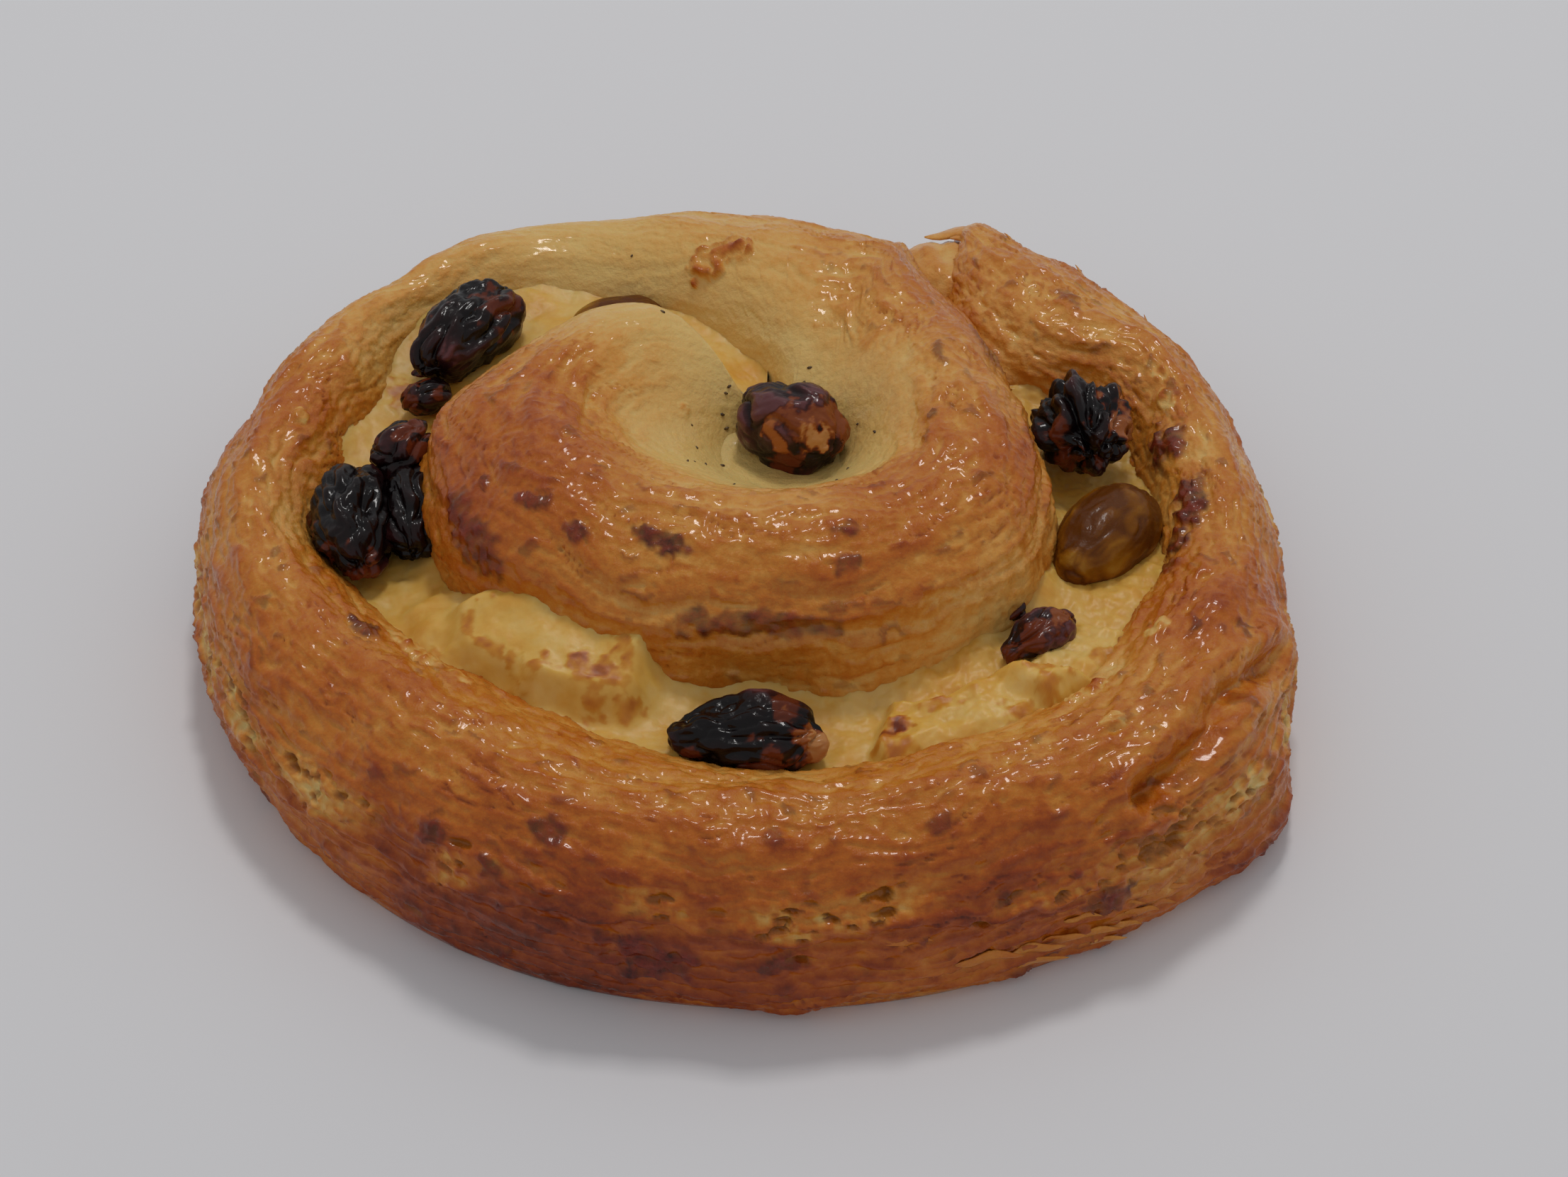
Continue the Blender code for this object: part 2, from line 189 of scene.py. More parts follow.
def on_coil(angle, radius, height):
    """Cartesian millimetres from coil angle, distance from the coil's middle, and height."""
    turn = np.radians(angle)
    x = middle_x + radius * np.cos(turn)
    y = middle_y + radius * np.sin(turn)
    return np.stack(np.broadcast_arrays(x, y, height), -1)


sample = np.arange(coil_start, coil_end)
print("strip's outer edge runs", round(float(follow(outer_edge, sample).sum() * math.radians(1))), "mm")

# %% [markdown]
# ## Noise
# Baked dough is uneven at every size, from a slow swell of the rim to wrinkles finer than a grain of
# salt. Geometry needs the numbers, which noise textures keep to themselves, so gradient noise is written
# out: each corner of a cubic lattice gets a random direction from an integer hash, and a point blends
# the slopes of the eight corners around it. The same hash scatters spots, one in each cell.


# %% Noise over arrays of points
def lattice(ix, iy, iz, seed):
    """Three random numbers from -1 to 1 for each whole-number corner, from an integer hash."""
    h = ix.astype(np.uint32) * np.uint32(374761393) + iy.astype(np.uint32) * np.uint32(668265263)
    h = h + iz.astype(np.uint32) * np.uint32(2246822519) + np.uint32((seed * 3266489917) & 0xFFFFFFFF)
    h = (h ^ (h >> np.uint32(15))) * np.uint32(2246822519)
    h = (h ^ (h >> np.uint32(13))) * np.uint32(3266489917)
    h = h ^ (h >> np.uint32(16))
    parts = [(h >> np.uint32(shift)) & np.uint32(1023) for shift in (0, 10, 20)]
    return [part.astype(np.float32) / 511.5 - 1 for part in parts]


def noise(points, size, seed):
    """Gradient noise of about -1 to 1, with lumps about size across. Size may differ by axis.

    Each seed, any whole number, gives lumps of its own.
    """
    p = (points / np.asarray(size, float)).astype(np.float32)
    cell = np.floor(p)
    f = p - cell
    cell = cell.astype(np.int32)
    ease = f * f * f * (f * (f * 6 - 15) + 10)
    total = np.zeros(p.shape[:-1], np.float32)
    for corner in itertools.product((0, 1), repeat=3):
        slopes = lattice(*(cell[..., k] + corner[k] for k in range(3)), seed)
        slope = sum(slopes[k] * (f[..., k] - corner[k]) for k in range(3))
        share = math.prod(ease[..., k] if corner[k] else 1 - ease[..., k] for k in range(3))
        total += slope * share
    return total * 1.6


def rough(points, size, seed, octaves=3):
    """Fractal noise: each octave is half the size and half the strength of the one before."""
    size = np.asarray(size, float)
    return sum(noise(points, size / 2 ** k, seed + k) / 2 ** k for k in range(octaves))


def scatter(points, size, seed):
    """Distance to the nearest of one random spot per cell, in cell sizes, and that spot's own number."""
    p = (points / np.asarray(size, float)).astype(np.float32)
    cell = np.floor(p).astype(np.int32)
    best = np.full(p.shape[:-1], 9.0, np.float32)
    own = np.zeros(p.shape[:-1], np.float32)
    for shift in itertools.product((-1, 0, 1), repeat=3):
        corner = [cell[..., k] + shift[k] for k in range(3)]
        jitter = lattice(*corner, seed)
        gap = [corner[k] + 0.5 + 0.4 * jitter[k] - p[..., k] for k in range(3)]
        away = np.sqrt(gap[0] ** 2 + gap[1] ** 2 + gap[2] ** 2)
        nearer = away < best
        best = np.where(nearer, away, best)
        own = np.where(nearer, 0.5 + 0.5 * lattice(*corner, seed + 77)[1], own)
    return best, own


trial = noise(np.arange(9000).reshape(-1, 3) * 0.37, 5.0, 1)
print("noise runs from", round(float(trial.min()), 2), "to", round(float(trial.max()), 2))


# %% [markdown]
# ## Meshes from grids
# A surface is a grid of points. Its faces join neighbours, it closes on itself around the section, and
# each end closes to a point. Normals of the bare surface say which way to push the relief.


# %% Grid helpers
def grid_normals(points, closed):
    """Unit normals of a grid of points, from the differences along its rows and its columns."""
    along = np.gradient(points, axis=0)
    if closed:
        across = 0.5 * (np.roll(points, -1, 1) - np.roll(points, 1, 1))
    else:
        across = np.gradient(points, axis=1)
    n = np.cross(across, along)
    return n / np.maximum(np.linalg.norm(n, axis=-1, keepdims=True), 1e-9)


def placed(name, data):
    """A new object in the scene."""
    made = bpy.data.objects.new(name, data)
    bpy.context.scene.collection.objects.link(made)
    return made


def mesh_piece(name, points, faces, attributes, material, slot):
    """A smooth mesh object from millimetre points, with its point attributes, on the pastry's body."""
    mesh = bpy.data.meshes.new(name)
    mesh.from_pydata(points * MM, [], faces)
    for key, values in attributes.items():
        layer = mesh.attributes.new(key, "FLOAT", "POINT")
        layer.data.foreach_set("value", np.asarray(values, np.float32).ravel())
    mesh.shade_smooth()
    mesh.materials.append(material)
    piece = placed(name, mesh)
    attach(piece, "root")
    print(name, sum(len(face) - 2 for face in faces), "triangles")
    return piece


def closed_tube(rings, tips=None):
    """Points and faces of a grid that closes across each row, with a fan to a tip at each end."""
    rows, columns = rings.shape[:2]
    if tips is None:
        tips = rings[[0, -1]].mean(1)
    i = columns * np.arange(rows)[:, None]
    j = np.arange(columns)
    k = (j + 1) % columns
    quads = np.stack([i[:-1] + j, i[1:] + j, i[1:] + k, i[:-1] + k], -1)
    first_tip = np.full(columns, rows * columns)
    fans = [np.stack([k, j, first_tip], -1), np.stack([i[-1] + j, i[-1] + k, first_tip + 1], -1)]
    faces = quads.reshape(-1, 4).tolist() + np.concatenate(fans).tolist()
    return np.concatenate([rings.reshape(-1, 3), tips]), faces


def joined(parts):
    """Many (points, faces) as one."""
    starts = np.cumsum([0] + [len(points) for points, faces in parts])
    faces = [[corner + start for corner in face] for start, part in zip(starts, parts) for face in part[1]]
    return np.concatenate([points for points, _ in parts]), faces


def unit_ball(rows, columns):
    """Rings of a ball about the x axis: (cos s, sin s cos e, sin s sin e), without its two poles."""
    south = np.linspace(0, math.pi, rows + 2)[1:-1, None]
    east = np.linspace(0, 2 * math.pi, columns, endpoint=False)[None, :]
    return np.stack(np.broadcast_arrays(
        np.cos(south), np.sin(south) * np.cos(east), np.sin(south) * np.sin(east)), -1)


def spun(degrees):
    """Matrix of a turn about the vertical axis."""
    c, s = math.cos(math.radians(degrees)), math.sin(math.radians(degrees))
    return np.array([[c, -s, 0], [s, c, 0], [0, 0, 1]])

# %% [markdown]
# ## The dough strip as grids
# One grid over the whole strip would be the heaviest mesh in the scene, so it is cut across into five.
# Each piece runs a few rings past its cut, sinking under its neighbour, and closes there, so it is whole
# on its own and the joint can't be seen. Columns are spread by length, thinly where the seam hides them.


# %% Closed rings around the strip, with columns spread by visible length
def visible_share(angle, points):
    """How closely the columns are set: full on open dough, a fifth where the seam hides the flank."""
    height = points[..., 1]
    crest = np.argmax(height, 1)[:, None]
    inner_side = np.arange(points.shape[1])[None, :] < crest
    open_wall = ramp(angle, seam_exit - 12, seam_exit + 3)[:, None]
    shown = ramp(height, 8.0, 12.0)
    return 0.2 + 0.8 * np.where(inner_side, shown, np.maximum(shown, open_wall))


def strip_rings(angle, top_columns, base_columns):
    """A closed ring of points for each angle, with each point's length across the strip from its crest."""
    fine = section(angle, np.linspace(0, 1, 261))
    step = np.linalg.norm(np.diff(fine, axis=1), axis=-1)
    share = visible_share(angle, fine)
    start = np.zeros((len(angle), 1))
    weight = np.concatenate([start, np.cumsum(step * (share[:, 1:] + share[:, :-1]), 1)], 1)
    across = np.concatenate([start, np.cumsum(step, 1)], 1)
    across -= np.take_along_axis(across, np.argmax(fine[..., 1], 1)[:, None], 1)
    wanted = np.linspace(0, 1, top_columns)
    rows = np.array([
        [np.interp(wanted * w[-1], w, values) for values in (f[:, 0], f[:, 1], a)]
        for w, f, a in zip(weight, fine, across)])
    under = (np.arange(base_columns) + 1) / (base_columns + 1)
    base = rows[:, :, -1:] * (1 - under) + rows[:, :, :1] * under
    rows = np.concatenate([rows, base], 2)
    return on_coil(angle[:, None], rows[:, 0], rows[:, 1]), rows[:, 2]


def along_strip(angle):
    """Length along the strip's crest up to each angle, in millimetres."""
    whole = np.arange(coil_start, coil_end + 1)
    middle = 0.5 * (follow(outer_edge, whole) + follow(inner_edge, np.maximum(whole, passage_start)))
    return np.interp(angle, whole, np.cumsum(middle) * math.radians(1))


print("the strip is", round(float(along_strip(coil_end))), "mm long")


# %% [markdown]
# ## How brown it is
# Browning follows the oven's heat: open crowns darken, while the crater and the groove stay pale. The low
# outer wall is darker partly from browning and partly as painted shade, and some patches carry painted
# shade too, low on the front wall and on the heart's left edge. Patches of a given strength are blended
# over the surface like strokes of a brush.

# %% Patches of baked colour and painted shade: how brown, from 0, raw cream, to 1, burnt, and where, x, y, z in millimetres
browned_and_shaded = {
    0.00: [(-3.5, 20.5, 23.5), (-3, 0, 20), (5, -3, 20), (11, 0, 20), (3, 23, 19), (19, -23, 17),
           (-18, 33, 17), (-2, 24, 18), (1, 26, 20)],
    0.05: [(10, 17, 20), (-14, 21, 19), (-26, 30, 17), (-8, 31, 17), (-13, 27, 17)],
    0.10: [(5, -14, 27), (-21, 38, 19), (25, -18, 16), (33, -3, 18), (-33, 22, 17), (-39, -5, 16),
           (14, -35, 14), (32, -24, 15), (-8, 26, 18)],
    0.15: [(-8, 5, 22), (14, 10, 22), (-14, 38, 19), (-9, 34, 19), (36, 2, 16), (24, -31, 15),
           (-1, 29, 21)],
    0.20: [(24, 40, 17), (-10, 15, 25), (-6, -10, 26), (-4, 38, 22), (-22, 16, 19), (0, -36, 15),
           (21, -50, 2)],
    0.25: [(21, 45, 16), (52, -22, 12), (48, -28, 12), (-13, -22, 15), (30, 27, 17), (49, 7, 19),
           (-36, 29, 19), (-30, 36, 20), (5, 37, 23), (5, -26, 18), (31, -10, 17)],
    0.30: [(25, 45, 17), (44, -34, 12.5), (-6, -22, 23), (21, 5, 26), (13, 31, 24), (41, 24, 19),
           (8, -39, 16), (-40, 21, 19), (-17, -20, 17), (-28, 9, 19), (38, -8, 16)],
    0.35: [(25, -15, 23), (5, 28, 23), (45, 15, 19), (47, -8, 19), (34, -28, 18), (22, -36, 17),
           (-15, -36, 18), (-46, 0, 19), (12, -24, 18)],
    0.40: [(-1, -17, 27), (-11, -18, 26), (20, -10, 26), (15, 20, 24), (33, 36, 19), (45, -29, 16),
           (-7, -43, 18), (-29, -27, 18), (-26, -36, 19), (-45, -10, 18), (-51, -13, 13), (-25, -15, 17),
           (-29, -8, 17), (-31, -19, 15), (36, -43.5, 3.5)],
    0.45: [(-19, 8, 27), (21, 25, 23), (26, 36, 16), (51, -3, 17), (-38, -16, 18), (-44, 11, 19),
           (-43, -28, 14), (-9, -23, 17), (-2, -25, 18), (-30, 0, 18), (39, 12, 17), (11, -52, 1.5)],
    0.50: [(-23, 2, 27), (-18, -4, 27), (5, -22, 25), (32, -43, 14), (15, -37, 16), (1, -47, 18),
           (-37, -31, 17), (-47, -21, 14), (5, -50, 15), (11, -50, 14), (-37, -37, 10), (-39, 8, 16),
           (0, -52, 1.5)],
    0.55: [(16, -21, 21), (-21, -18, 16), (49, -16, 18), (39, -16, 15), (41, -38, 13), (19, -48, 14),
           (25, -46, 15)],
    0.60: [(-17, -12, 25), (12, -13, 27), (36, -34, 18), (-2, -51, 14), (29, -47, 3)],
    0.65: [(-16, -49, 11), (-31, -42, 10), (-23, -46, 12)],
    0.70: [(28, -4, 24), (46, -23, 17), (49, -33, 7), (-9, -51, 11)],
    # The heart's left edge here and the low front wall in the rows below are darker partly as painted shade.
    0.75: [(-26, -6, 25)],
    0.80: [(-6, -52, 5), (-25, -46, 6), (29, -47, 8)],
    0.90: [(5, -53, 7), (-16, -49, 6), (20, -50, 8)]}
browning_and_shade = np.array([(*place, brown) for brown, places in browned_and_shaded.items() for place in places])
patch_reach = 5.0
print(len(browning_and_shade), "patches of browning")


def brownness_and_shade(points, across):
    """Blend of the patches by nearness, over a plain rule: walls darken, most low down, partly as painted
    shade; seams and the crater stay pale.
    """
    height = points[..., 2]
    wall = ramp(across, 4, 12)
    # Darker low on the outer wall: partly browning, partly painted shade.
    plain = 0.42 + 0.16 * wall + 0.22 * ramp(height, 9, 4) * wall
    total = plain * 0.02
    share = np.full(height.shape, 0.02)
    for x, y, z, brown in browning_and_shade:
        gap = (points[..., 0] - x) ** 2 + (points[..., 1] - y) ** 2 + (points[..., 2] - z) ** 2
        near = np.exp(-gap / (2 * patch_reach ** 2))
        total += near * brown
        share += near
    return total / share


# %% [markdown]
# ## Relief of the crust
# Laminated dough tears along its layers as it swells, so the strip shows shallow folds that run with it,
# a ragged ledge round its outer wall with torn crumb above, and pits where gas came out. Steam lifts
# small blisters, which burn first. All of it is worked out as a height to push the bare surface out by,
# and the same fields colour the crust.

# %% What each mark does: how far it lifts the crust, in millimetres, and how much it browns it
effects = {
    "swell": (0.75, 0), "folds": (0.42, 0.10), "threads": (0.24, 0.15), "leather": (0.22, 0.10),
    "cracks": (-0.26, 0.12), "flakes": (0.12, 0.16), "clouds": (0, 0.05), "ledge_lip": (0.75, 0.10),
    "layer_steps": (0.30, 0.10), "torn_crumb": (0, -0.38), "crumb_grain": (0.20, 0.38),
    "blistering": (0.26, 0), "pits": (-0.85, 0), "scraps": (0.25, 0), "scrap_kinks": (0.9, 0),
    "stretched": (0, -0.04), "stretch_lines": (-0.30, 0.10), "crater_grain": (0.05, 0), "slump": (-3.0, 0)}

# %% Marks with a place of their own: x, y, z, half length along the strip, half width, strength
blisters = [
    (-14.7, -15.9, 25.7, 1.5, 0.9, 1.0), (-7.0, -17.6, 26.3, 3.4, 1.0, 1.0),
    (-24.4, -13.0, 22.3, 4.5, 1.6, 0.8), (-26.2, -9.2, 22.9, 2.0, 1.2, 0.7),
    (3.2, -24.2, 21.9, 9.5, 0.9, 0.75), (10.5, -16.9, 26.6, 1.6, 0.7, 0.8),
    (10.4, -20.0, 25.5, 1.4, 0.9, 0.7), (19.6, 0.9, 25.8, 1.0, 0.5, 0.8),
    (20.4, 10.4, 25.9, 2.6, 0.7, 0.6), (25.3, 17.3, 22.8, 3.6, 1.6, 0.55),
    (35.1, 28.5, 18.6, 2.4, 1.2, 0.7), (44.3, 7.5, 17.1, 2.8, 1.8, 0.95),
    (45.1, -1.8, 17.7, 3.4, 1.7, 1.0), (43.2, -6.3, 16.5, 2.2, 1.4, 1.0),
    (42.4, -9.8, 16.5, 1.5, 1.0, 0.75), (-34.6, -21.6, 18.1, 2.4, 1.2, 0.9),
    (-15.8, -45.4, 16.9, 1.8, 1.1, 0.8), (-7.0, -51.9, 7.8, 4.5, 1.3, 1.0),
    (33.6, -45.3, 7.5, 3.2, 0.8, 0.9)]
hollows = [
    (36.9, -42.3, 11.5, 1.4, 0.7, 1.0), (34.5, -43.4, 11.3, 0.9, 0.5, 1.0),
    (39.3, -40.8, 11.8, 1.2, 0.8, 1.0), (13.5, -50.0, 14.0, 0.8, 0.5, 1.0)]
# Toasted scraps of custard skin on the dough: x, y, z, half length along the coil, half width, strength
scraps = [
    (-3.0, 34.2, 21.6, 3.0, 2.2, 1.0), (-0.4, 34.8, 22.4, 1.8, 2.2, 1.0),
    (-36.5, 18.6, 16.6, 3.4, 1.5, 0.7), (-30.0, -22.5, 15.2, 5.0, 1.6, 0.75),
    (-25.5, -27.3, 16.0, 2.2, 1.0, 0.6), (40.0, -21.0, 16.0, 2.4, 1.2, 0.55),
    (-45.0, 9.6, 18.6, 1.3, 0.9, 0.7), (32.6, -28.2, 16.8, 2.6, 1.0, 0.7),
    (34.3, -33.9, 18.5, 1.3, 0.9, 0.85), (44.0, 17.2, 18.8, 1.3, 1.0, 0.5),
    (44.2, 13.6, 18.8, 1.6, 1.0, 0.45), (-5.6, 9.2, 20.3, 1.0, 0.5, 0.4)]
# Creases: points of a line, then its depth and half width
creases = [
    ([(53.6, -19.0, 14.5), (49.0, -24.0, 15.5), (45.0, -28.4, 16.9), (42.2, -32.8, 16.0),
      (39.2, -36.6, 15.6), (36.6, -39.5, 15.2)], 2.0, 1.1),
    ([(-48.5, -25.5, 8.0), (-45.7, -29.0, 9.5), (-43.2, -32.0, 9.6), (-39.6, -35.6, 9.8)], 0.8, 0.7)]
# How far apart the layers of the torn wall are, and where the passage slumps toward the tail
layer_rise = 1.5
slump_middle, slump_reach = np.array([19.0, 46.0, 19.5]), 8.0
# Height of the ragged ledge round the outer wall, by angle along the strip
ledge_height = {
    430: 8.0, 500: 9.0, 545: 8.0, 590: 9.5, 615: 10.8, 645: 10.5, 670: 9.2, 690: 8.0, 785: 8.0}
print(len(blisters), "blisters,", len(hollows), "hollows,", len(scraps), "scraps,", len(creases), "creases")


# %% Marks laid at their places, and distances to lines
def near_line(points, corners):
    """Distance of each point to a line through corners, in millimetres."""
    best = np.full(points.shape[:-1], 99.0)
    for start, end in zip(np.array(corners[:-1]), np.array(corners[1:])):
        run = end - start
        share = np.clip(((points - start) @ run) / (run @ run), 0, 1)
        best = np.minimum(best, np.linalg.norm(points - start - share[..., None] * run, axis=-1))
    return best


def marks(points, table, ragged):
    """Placed marks: strength inside an ellipse laid along the coil, with an edge frayed by noise."""
    total = np.zeros(points.shape[:-1], np.float32)
    fray = rough(points, 1.5, 61, 2) * ragged
    for x, y, z, half_length, half_width, strength in table:
        gap = (points - np.array([x, y, z])) * np.array([1, 1, 0.5])
        turn = math.atan2(y - middle_y, x - middle_x)
        along = gap[..., 1] * math.cos(turn) - gap[..., 0] * math.sin(turn)
        beside = np.sqrt(np.maximum((gap ** 2).sum(-1) - along ** 2, 0))
        inside = 1 - np.hypot(along / half_length, beside / half_width) + fray
        total = np.maximum(total, strength * ramp(inside, -0.12, 0.28))
    return total * (0.95 + 0.45 * noise(points, 1.1, 67))


# %% The torn outer wall, burns and pits
def torn_wall(points, strip, angle, wall):
    """Marks of the outer wall: the ledge's lip, the torn crumb above it, and the steps of the layers."""
    height = points[..., 2]
    ledge_at = height - follow(ledge_height, angle)[:, None] - 1.3 * rough(strip, (7.0, 9.0, 9.0), 17, 3)
    lip = ramp(ledge_at, -0.15, 0.25) * np.exp(-np.maximum(ledge_at, 0) / 2.6)
    crumb = ramp(ledge_at, 0.2, 0.8) * ramp(ledge_at, 4.6, 2.6) * wall
    crumb *= ramp(noise(points, 9.0, 19) + 0.3, -0.1, 0.4)
    crumb = np.maximum(crumb, 0.9 * bell(points[..., 0], 38, 8) * bell(height, 10.5, 3.2) * wall)
    layer = height / layer_rise + rough(strip, (13.0, 9.0, 9.0), 23, 3)
    step = layer - np.floor(layer)
    return wall * lip, crumb, wall * (ramp(step, 0.0, 0.75) - ramp(step, 0.85, 1.0) - 0.4)


def spots(points, size, seed, biggest, soft, least):
    """Scattered discs: where a cell's number n passes least, one of radius biggest times n squared."""
    away, own = scatter(points, size, seed)
    return ramp(biggest * own * own - away, -soft, soft) * (own > least)


def burns_and_pits(points, strip, leather, crumb, wall, brown):
    """Burnt blisters, specks and flecks, and pits where gas came out: the strongest mark at each point."""
    height = points[..., 2]
    spot_at = strip + 0.9 * np.stack([noise(points, 1.6, 71), noise(points, 1.6, 72), 0 * height], -1)
    specks = spots(spot_at, (4.6, 2.6, 5.0), 21, 0.34, 0.04, 0.56) * ramp(brown, 0.40, 0.55)
    flecks = spots(spot_at, (2.6, 1.3, 3.0), 29, 0.36, 0.05, 0.62) * ramp(brown, 0.20, 0.34)
    char = np.maximum(np.maximum(marks(points, blisters, 0.55), 0.8 * specks), 0.45 * flecks)
    cell, cell_own = scatter(strip + 0.3 * leather[..., None], (1.9, 1.1, 2.4), 33)
    pits = ramp(0.42 - cell, 0.0, 0.14) * (cell_own > 0.45) * crumb
    lone, lone_own = scatter(strip, (7.0, 2.4, 5.0), 37)
    pits = np.maximum(pits, ramp(0.20 - lone, 0.0, 0.08) * (lone_own > 0.6) * wall * ramp(height, 3, 6))
    return char, np.maximum(pits, marks(points, hollows, 0.5))


# %% All marks together, as relief and colour
def crust(points, angle, across):
    """Relief in millimetres, and the fields that colour it: sums of noises and marks, by their effects."""
    length = np.broadcast_to(along_strip(angle)[:, None], across.shape)
    bent = across + 1.6 * noise(points, 9.0, 3) + 0.5 * noise(points, 3.0, 4)
    strip = np.stack([length, bent, 0.15 * length], -1)
    height = points[..., 2]
    wall = ramp(across, 5, 12) * ramp(angle, seam_exit - 10, seam_exit + 20)[:, None]
    # The brown field holds browning and painted shade from the patches.
    brown = brownness_and_shade(points, across)
    crater = ramp(np.hypot(points[..., 0] - middle_x, points[..., 1] - middle_y), 15, 10)
    open_crust = (0.30 + 0.70 * ramp(brown, 0.08, 0.35)) * (1 - 0.8 * crater)
    stretched = ramp(across, 7, 11) * ramp(angle, seam_exit, seam_exit - 20)[:, None]
    stretched *= ramp(brown, 0.45, 0.25)
    leather = 0.5 - np.abs(rough(points, 1.5, 13, 2))
    lip, crumb, steps = torn_wall(points, strip, angle, wall)
    char, pits = burns_and_pits(points, strip, leather, crumb, wall, brown)
    cracks = bell(rough(strip, (9.0, 1.5, 9.0), 141, 3), 0.0, 0.055)
    cracks = cracks * ramp(noise(strip, (8.0, 3.0, 8.0), 147), 0.0, 0.35)
    flake, flake_own = scatter(strip + 0.35 * leather[..., None], (3.4, 0.85, 5.0), 151)
    scrap = marks(points, scraps, 0.25)
    kinks = np.abs(rough(points, 1.9, 55, 2))
    mark = {
        "swell": rough(points, 14.0, 1, 2),
        "folds": open_crust * rough(strip, (10.0, 2.4, 9.0), 5, 3),
        "threads": open_crust * (0.5 - np.abs(rough(strip, (3.0, 0.85, 5.0), 9, 2))),
        "leather": open_crust * leather,
        "cracks": open_crust * cracks,
        "flakes": open_crust * (flake_own - 0.5) * ramp(flake, 0.62, 0.40),
        "clouds": open_crust * noise(points, 4.0, 91),
        "ledge_lip": lip,
        "layer_steps": steps,
        "torn_crumb": crumb,
        "crumb_grain": crumb * leather,
        "blistering": char * (1 + leather),
        "pits": pits,
        "scraps": scrap,
        "scrap_kinks": scrap * kinks,
        "stretched": stretched,
        "stretch_lines": stretched * np.abs(rough(strip, (1.0, 6.0, 6.0), 161, 2)),
        "crater_grain": crater * rough(points, 1.2, 163, 2),
        "slump": bell(np.linalg.norm(points - slump_middle, axis=-1), 0, slump_reach)}
    relief = sum(lift * mark[name] for name, (lift, _) in effects.items())
    brown = brown + sum(tint * mark[name] for name, (_, tint) in effects.items())
    for corners, depth, half_width in creases:
        gap = near_line(points, corners) + 0.25 * noise(points, 1.8, 81)
        relief -= depth * bell(gap, 0.0, half_width) - 0.35 * depth * bell(gap, 2.4 * half_width, half_width)
    cover = ramp(scrap, 0.05, 0.35)
    brown = brown * (1 - cover) + cover * (0.22 + 0.12 * scrap * scrap + 0.6 * (kinks - 0.2))
    relief = relief * ramp(height, -0.1, 1.6)
    return relief, {"brown": np.clip(brown, 0, 1), "char": np.clip(char, 0, 1), "pit": pits}


detail = 1.0
top_columns, base_columns = int(190 * detail), int(20 * detail)
cuts = [coil_start, 270.0, 430.0, 540.0, 662.0, coil_end]
rows_each = int(456 * detail)
overlap_rings = 6
nose_rings_start, nose_rings_tail = int(16 * detail), int(24 * detail)
low_middle = np.array([1, 1, 0.5])
surface = []


def sink_end(points, normals):
    """The last rings, past a cut, sink under the neighbour by 0.012 mm times their number squared."""
    sink = 0.012 * (np.arange(overlap_rings) + 1) ** 2
    points[-overlap_rings:] -= normals[-overlap_rings:] * sink[:, None, None]


def round_end(points, rings):
    """The last rings shrink about a low middle as a blunt nose: size (1 - t^3)^(1/3), t from 0 to 1."""
    centre = points[-rings:].mean(1, keepdims=True) * low_middle
    t = (np.arange(rings) + 0.5) / rings
    size = ((1 - t ** 3) ** (1 / 3))[:, None, None]
    points[-rings:] = centre + (points[-rings:] - centre) * size


def dough_piece(name, first, last, material):
    """One length of the strip between two angles, closed at both ends."""
    step = (last - first) / rows_each
    before = overlap_rings if first > coil_start else 0
    after = overlap_rings if last < coil_end else 0
    angle = first + step * np.arange(-before, rows_each + after + 1)
    points, across = strip_rings(angle, top_columns, base_columns)
    normals = grid_normals(points, True)
    relief, fields = crust(points, angle, across)
    relief[:, top_columns:] = 0.0
    points = points + normals * relief[..., None]
    if not before:
        round_end(points[::-1], nose_rings_start)
    if not after:
        round_end(points, nose_rings_tail)
    hollow = 0.5 * np.abs(rough(points[:, top_columns:], 7.0, 171, 3))
    points[:, top_columns:, 2] = np.maximum(points[:, top_columns:, 2], hollow)
    points[..., 2] = np.maximum(points[..., 2], 0.0)
    if before:
        sink_end(points[::-1], normals[::-1])
    if after:
        sink_end(points, normals)
    surface.append(np.concatenate([points, normals, fields["brown"][..., None]], -1).reshape(-1, 7))
    flat, faces = closed_tube(points)
    values = {key: np.concatenate([field.ravel(), field[[0, -1], 0]]) for key, field in fields.items()}
    return mesh_piece(name, flat, faces, values, material, "baked_dough")


# %% [markdown]
# ## Materials
# Browned laminated dough is a thin glossy skin of egg wash over a slightly see-through crumb. Its hues
# run from cream through gold and chestnut to a purple-brown where sugar has burnt. One ramp holds those
# hues, the brown attribute of each point, browning with some painted shade, picks the place on it, and noise
# adds a fine mottling.


# %% Colours and one helper for nodes
def colour(code):
    """A linear colour from an sRGB hex code."""
    parts = [int(code[i:i + 2], 16) / 255 for i in (0, 2, 4)]
    return [p / 12.92 if p <= 0.04045 else ((p + 0.055) / 1.055) ** 2.4 for p in parts] + [1.0]


def node(tree, kind, inputs=None, **settings):
    """Adds a node, sets its properties, and fills its sockets with values or links from other nodes."""
    made = tree.nodes.new("ShaderNode" + kind)
    for key, value in settings.items():
        setattr(made, key, value)
    for key, value in (inputs or {}).items():
        if isinstance(value, bpy.types.NodeSocket):
            tree.links.new(value, made.inputs[key])
        else:
            made.inputs[key].default_value = value
    return made


def new_material(name, look, *choices):
    """A material of one principled shader, with the inputs that the look gives for the material's tree."""
    material = bpy.data.materials.new(name)
    material.use_nodes = True
    tree = material.node_tree
    tree.nodes.clear()
    shader = node(tree, "BsdfPrincipled", look(tree, *choices))
    node(tree, "OutputMaterial", {"Surface": shader.outputs[0]})
    return material


